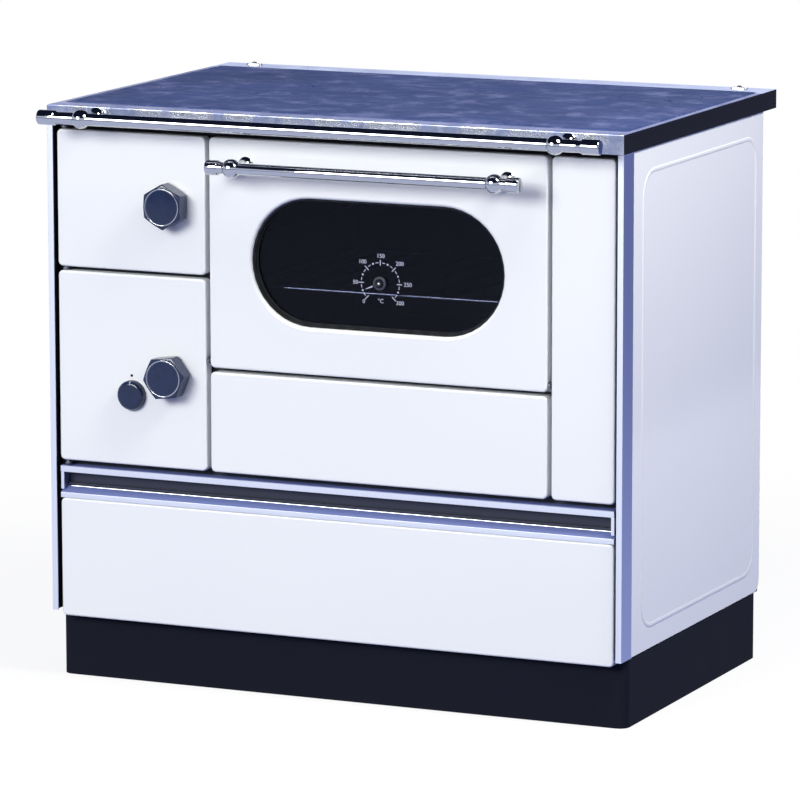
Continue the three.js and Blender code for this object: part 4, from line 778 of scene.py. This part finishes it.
def crossHead(radius):
    head = roundedDisc(radius, screwWork["rise"], screwWork["edge"], 20, 2)
    for length, breadth in ((1, screwWork["slotWide"]), (screwWork["slotWide"], 1)):
        clearPick()
        bpy.ops.mesh.primitive_cube_add(size=1, location=(0, 0, screwWork["rise"] / 2))
        tool = bpy.context.object
        reach = radius * screwWork["slotLong"]
        tool.scale = (reach * length, reach * breadth, screwWork["slotDeep"])
        pick(head)
        cutter = head.modifiers.new("crossSlot", "BOOLEAN")
        cutter.operation = "DIFFERENCE"
        cutter.solver = "EXACT"
        cutter.object = tool
        bpy.ops.object.modifier_apply(modifier=cutter.name)
        bpy.data.objects.remove(tool)
    bpy.ops.object.shade_smooth_by_angle(angle=math.radians(30))
    return head


def screwSet(name, places, radius, body):
    head = crossHead(radius)
    turn = Matrix.Rotation(-math.pi / 2, 4, "X")
    copies = [head]
    for _ in places[1:]:
        copy = head.copy()
        copy.data = head.data.copy()
        bpy.context.scene.collection.objects.link(copy)
        copies.append(copy)
    for copy, place in zip(copies, places):
        copy.matrix_world = Matrix.Translation(place) @ turn
    pick(head)
    for copy in copies[1:]:
        copy.select_set(True)
    bpy.ops.object.join()
    settle(bpy.context.object, name, bareSteel, body)


rearLow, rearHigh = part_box("rear_panel")
coverLow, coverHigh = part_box("rear_flue_cover")
coverCentre = (coverLow + coverHigh) / 2
rearAcross = (rearLow.x + screwWork["rearSideInset"], *screwWork["rearColumns"],
              rearHigh.x - screwWork["rearSideInset"])
rearUp = (rearLow.z + screwWork["rearFootInset"], screwWork["rearMiddle"],
          rearHigh.z - screwWork["rearTopInset"])
rearPlaces = [Vector((x, rearHigh.y + screwWork["proud"], z)) for x in rearAcross for z in rearUp]
screwSet("rearPanelScrews", rearPlaces, screwWork["rearRadius"], "stove_body")
ring = screwWork["coverRing"]
coverPlaces = [coverCentre + Vector((ring * math.cos(turn), 0, ring * math.sin(turn)))
               for turn in screwWork["coverTurns"]]
for place in coverPlaces:
    place.y = coverHigh.y + screwWork["proud"]
screwSet("flueCoverScrews", coverPlaces, screwWork["linerRadius"], "stove_body")
for door, body in (("fire", "fire_door"), ("ash", "ash_door"), ("oven", "oven_door")):
    low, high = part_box(door + "_door_liner")
    inset = screwWork["linerInset"]
    places = [Vector((x, high.y - screwWork["linerSunk"], z)) for x in (low.x + inset, high.x - inset)
              for z in (low.z + inset, high.z - inset)]
    screwSet(door + "LinerScrews", places, screwWork["linerRadius"], body)
print("screws set")

# The studio: camera, floor, room and lamps.
studio = {
    "cameraPlace": (3.26807, -7.24367, 1.78764), "azimuth": 24.356, "elevation": 9.897, "roll": -0.088,
    "lens": 246.96, "sensorWidth": 36,
    "floorSize": 60, "floorDrop": 0.0005, "floorPale": "#F7F8FC", "floorBounce": "#4A5484",
    "glowNear": 0.7, "glowFar": 1.9, "glowShare": 0.86,  # metres from the stove; the glow's share close by
    "floorShine": "#D0D7F2", "farShine": "#4E567C", "shineNear": 4.0, "shineFar": 10.0,
    "wallWhite": "#FFFFFF", "horizon": "#DCE2FA", "ceiling": "#161B2E", "bandFrom": 0.24, "bandTo": 0.34,
    "ambient": "#E6E9F2", "ambientRear": "#7890F0", "ambientPower": 0.52, "rearWay": (0.5, 0.86, 0),
    "rearFrom": -0.3, "rearTo": 0.7,  # share of the way to the rear, where the blue begins and is full
    "cardBlue": "#525C98", "cardPlace": (1.3, 1.8, 0.6), "cardAim": (0.0, 1.8, 0.6), "cardSize": (2.6, 1.3),
}
azimuth, elevation, roll = (math.radians(studio[key]) for key in ("azimuth", "elevation", "roll"))
forward = Vector((-math.sin(azimuth) * math.cos(elevation), math.cos(azimuth) * math.cos(elevation),
                  -math.sin(elevation)))
right = forward.cross(Vector((0, 0, 1))).normalized()
up = right.cross(forward)
rightRolled = math.cos(roll) * right + math.sin(roll) * up
upRolled = -math.sin(roll) * right + math.cos(roll) * up
cameraData = bpy.data.cameras.new("studioCamera")
cameraData.lens = studio["lens"]
cameraData.sensor_width = studio["sensorWidth"]
camera = bpy.data.objects.new("studioCamera", cameraData)
camera.matrix_world = Matrix.Translation(studio["cameraPlace"]) @ Matrix(
    (rightRolled, upRolled, -forward)).transposed().to_4x4()
bpy.context.scene.collection.objects.link(camera)
bpy.context.scene.camera = camera

# A pale painted floor: it keeps the stove's shadow close by and fades into the white room further out. It
# throws little light back up, as a dark floor would, and its mirror image is pale near by and dim far off.
clearPick()
bpy.ops.mesh.primitive_plane_add(size=studio["floorSize"], location=(0, 0, -studio["floorDrop"]))
floor = bpy.context.object
floor.name = "studioFloor"
floorPaint = bpy.data.materials.new("floorPaintRolled")
floorPaint.use_nodes = True
tree = floorPaint.node_tree
tree.nodes.clear()
seenBy = addNode(tree, "ShaderNodeLightPath")
paint = addNode(tree, "ShaderNodeMix", colourMix, {
    "Factor": seenBy.outputs["Is Diffuse Ray"], "A": studio["floorPale"], "B": studio["floorBounce"]})
matt = addNode(tree, "ShaderNodeBsdfDiffuse", None, {"Color": paint.outputs["Result"]})
glow = addNode(tree, "ShaderNodeEmission", None, {"Color": (1, 1, 1, 1), "Strength": 1.0})
seen = addNode(tree, "ShaderNodeMath", {"operation": "MAXIMUM"}, {
    0: seenBy.outputs["Is Camera Ray"], 1: seenBy.outputs["Is Transmission Ray"]})
away = addNode(tree, "ShaderNodeVectorMath", {"operation": "LENGTH"}, {
    0: addNode(tree, "ShaderNodeTexCoord").outputs["Object"]})
fade = addNode(tree, "ShaderNodeMapRange", {"interpolation_type": "SMOOTHSTEP"}, {
    "Value": away.outputs["Value"], "From Min": studio["glowNear"], "From Max": studio["glowFar"],
    "To Min": studio["glowShare"], "To Max": 1.0})
share = addNode(tree, "ShaderNodeMath", {"operation": "MULTIPLY"}, {
    0: seen.outputs["Value"], 1: fade.outputs["Result"]})
lifted = addNode(tree, "ShaderNodeMixShader", None, {
    "Fac": share.outputs["Value"], 1: matt.outputs["BSDF"], 2: glow.outputs["Emission"]})
farShare = addNode(tree, "ShaderNodeMapRange", {"interpolation_type": "SMOOTHSTEP"}, {
    "Value": away.outputs["Value"], "From Min": studio["shineNear"], "From Max": studio["shineFar"]})
sheenTone = addNode(tree, "ShaderNodeMix", colourMix, {
    "Factor": farShare.outputs["Result"], "A": studio["floorShine"], "B": studio["farShine"]})
sheen = addNode(tree, "ShaderNodeEmission", None, {"Color": sheenTone.outputs["Result"], "Strength": 1.0})
lifted = addNode(tree, "ShaderNodeMixShader", None, {
    "Fac": seenBy.outputs["Is Glossy Ray"], 1: lifted.outputs["Shader"], 2: sheen.outputs["Emission"]})
addNode(tree, "ShaderNodeOutputMaterial", None, {"Surface": lifted.outputs["Shader"]})
floor.data.materials.append(floorPaint)

# The room: white to the eye; in reflections a bright band stands on the horizon under a dark ceiling. Its
# soft light is pale from the front and blue from the right rear.
world = bpy.data.worlds.new("studioRoom")
bpy.context.scene.world = world
world.use_nodes = True
tree = world.node_tree
tree.nodes.clear()
seenBy = addNode(tree, "ShaderNodeLightPath")
direct = addNode(tree, "ShaderNodeMath", {"operation": "MAXIMUM"}, {
    0: seenBy.outputs["Is Camera Ray"], 1: seenBy.outputs["Is Transmission Ray"]})
heading = addNode(tree, "ShaderNodeSeparateXYZ", None, {
    "Vector": addNode(tree, "ShaderNodeTexCoord").outputs["Generated"]})
height = addNode(tree, "ShaderNodeMapRange", None, {
    "Value": heading.outputs["Z"], "From Min": studio["bandFrom"], "From Max": studio["bandTo"]})
mirrored = addNode(tree, "ShaderNodeMix", colourMix, {
    "Factor": height.outputs["Result"], "A": studio["horizon"], "B": studio["ceiling"]})
wall = addNode(tree, "ShaderNodeBackground", None, {"Color": studio["wallWhite"], "Strength": 1.0})
shine = addNode(tree, "ShaderNodeBackground", None, {"Color": mirrored.outputs["Result"], "Strength": 1.0})
toRear = addNode(tree, "ShaderNodeVectorMath", {"operation": "DOT_PRODUCT"}, {
    0: addNode(tree, "ShaderNodeTexCoord").outputs["Generated"], 1: studio["rearWay"]})
rearShare = addNode(tree, "ShaderNodeMapRange", {"interpolation_type": "SMOOTHSTEP"}, {
    "Value": toRear.outputs["Value"], "From Min": studio["rearFrom"], "From Max": studio["rearTo"]})
ambient = addNode(tree, "ShaderNodeMix", colourMix, {
    "Factor": rearShare.outputs["Result"], "A": studio["ambient"], "B": studio["ambientRear"]})
soft = addNode(tree, "ShaderNodeBackground", None, {
    "Color": ambient.outputs["Result"], "Strength": studio["ambientPower"]})
air = addNode(tree, "ShaderNodeMixShader", None, {
    "Fac": seenBy.outputs["Is Glossy Ray"], 1: soft.outputs["Background"], 2: shine.outputs["Background"]})
air = addNode(tree, "ShaderNodeMixShader", None, {
    "Fac": direct.outputs["Value"], 1: air.outputs["Shader"], 2: wall.outputs["Background"]})
addNode(tree, "ShaderNodeOutputWorld", None, {"Surface": air.outputs["Shader"]})


def aimed(place, aim, axis):
    way = Vector(aim) - Vector(place)
    return Matrix.Translation(place) @ way.to_track_quat(axis, "Y").to_matrix().to_4x4()


# A large warm-white box in front at the left, and a small one over the right side.
softBoxes = {
    "keySoftBox": ((-1.7, -5.3, 2.7), (0, 0, 0.7), (3.2, 1.8), 250, "#FFFEF8"),
    "sideSoftBox": ((1.7, -0.55, 2.5), (0.45, -0.1, 0.7), (0.9, 0.9), 74, "#FFFCED"),
}
for name, (place, aim, size, power, colour) in softBoxes.items():
    lamp = bpy.data.lights.new(name, "AREA")
    lamp.shape = "RECTANGLE"
    lamp.size, lamp.size_y = size
    lamp.energy = power
    lamp.color = hexColour(colour)[:3]
    box = bpy.data.objects.new(name, lamp)
    box.matrix_world = aimed(place, aim, "-Z")
    bpy.context.scene.collection.objects.link(box)

# A blue card behind the stove, to its right, facing left and seen only in reflections: it gives the bright
# metal its cold cast.
clearPick()
bpy.ops.mesh.primitive_plane_add(size=1)
card = bpy.context.object
card.name = "cardRight"
cardScale = Matrix.Diagonal((*studio["cardSize"], 1, 1))
card.matrix_world = aimed(studio["cardPlace"], studio["cardAim"], "Z") @ cardScale
cardboard = bpy.data.materials.new("cardboardPainted")
cardboard.use_nodes = True
cardboard.node_tree.nodes.clear()
cardGlow = addNode(cardboard.node_tree, "ShaderNodeEmission", None, {
    "Color": studio["cardBlue"], "Strength": 1.0})
addNode(cardboard.node_tree, "ShaderNodeOutputMaterial", None, {"Surface": cardGlow.outputs["Emission"]})
card.data.materials.append(cardboard)
card.visible_camera = False
card.visible_shadow = False
card.visible_transmission = False
card.visible_diffuse = False

bpy.context.scene.view_settings.view_transform = "Standard"
print("studio ready")
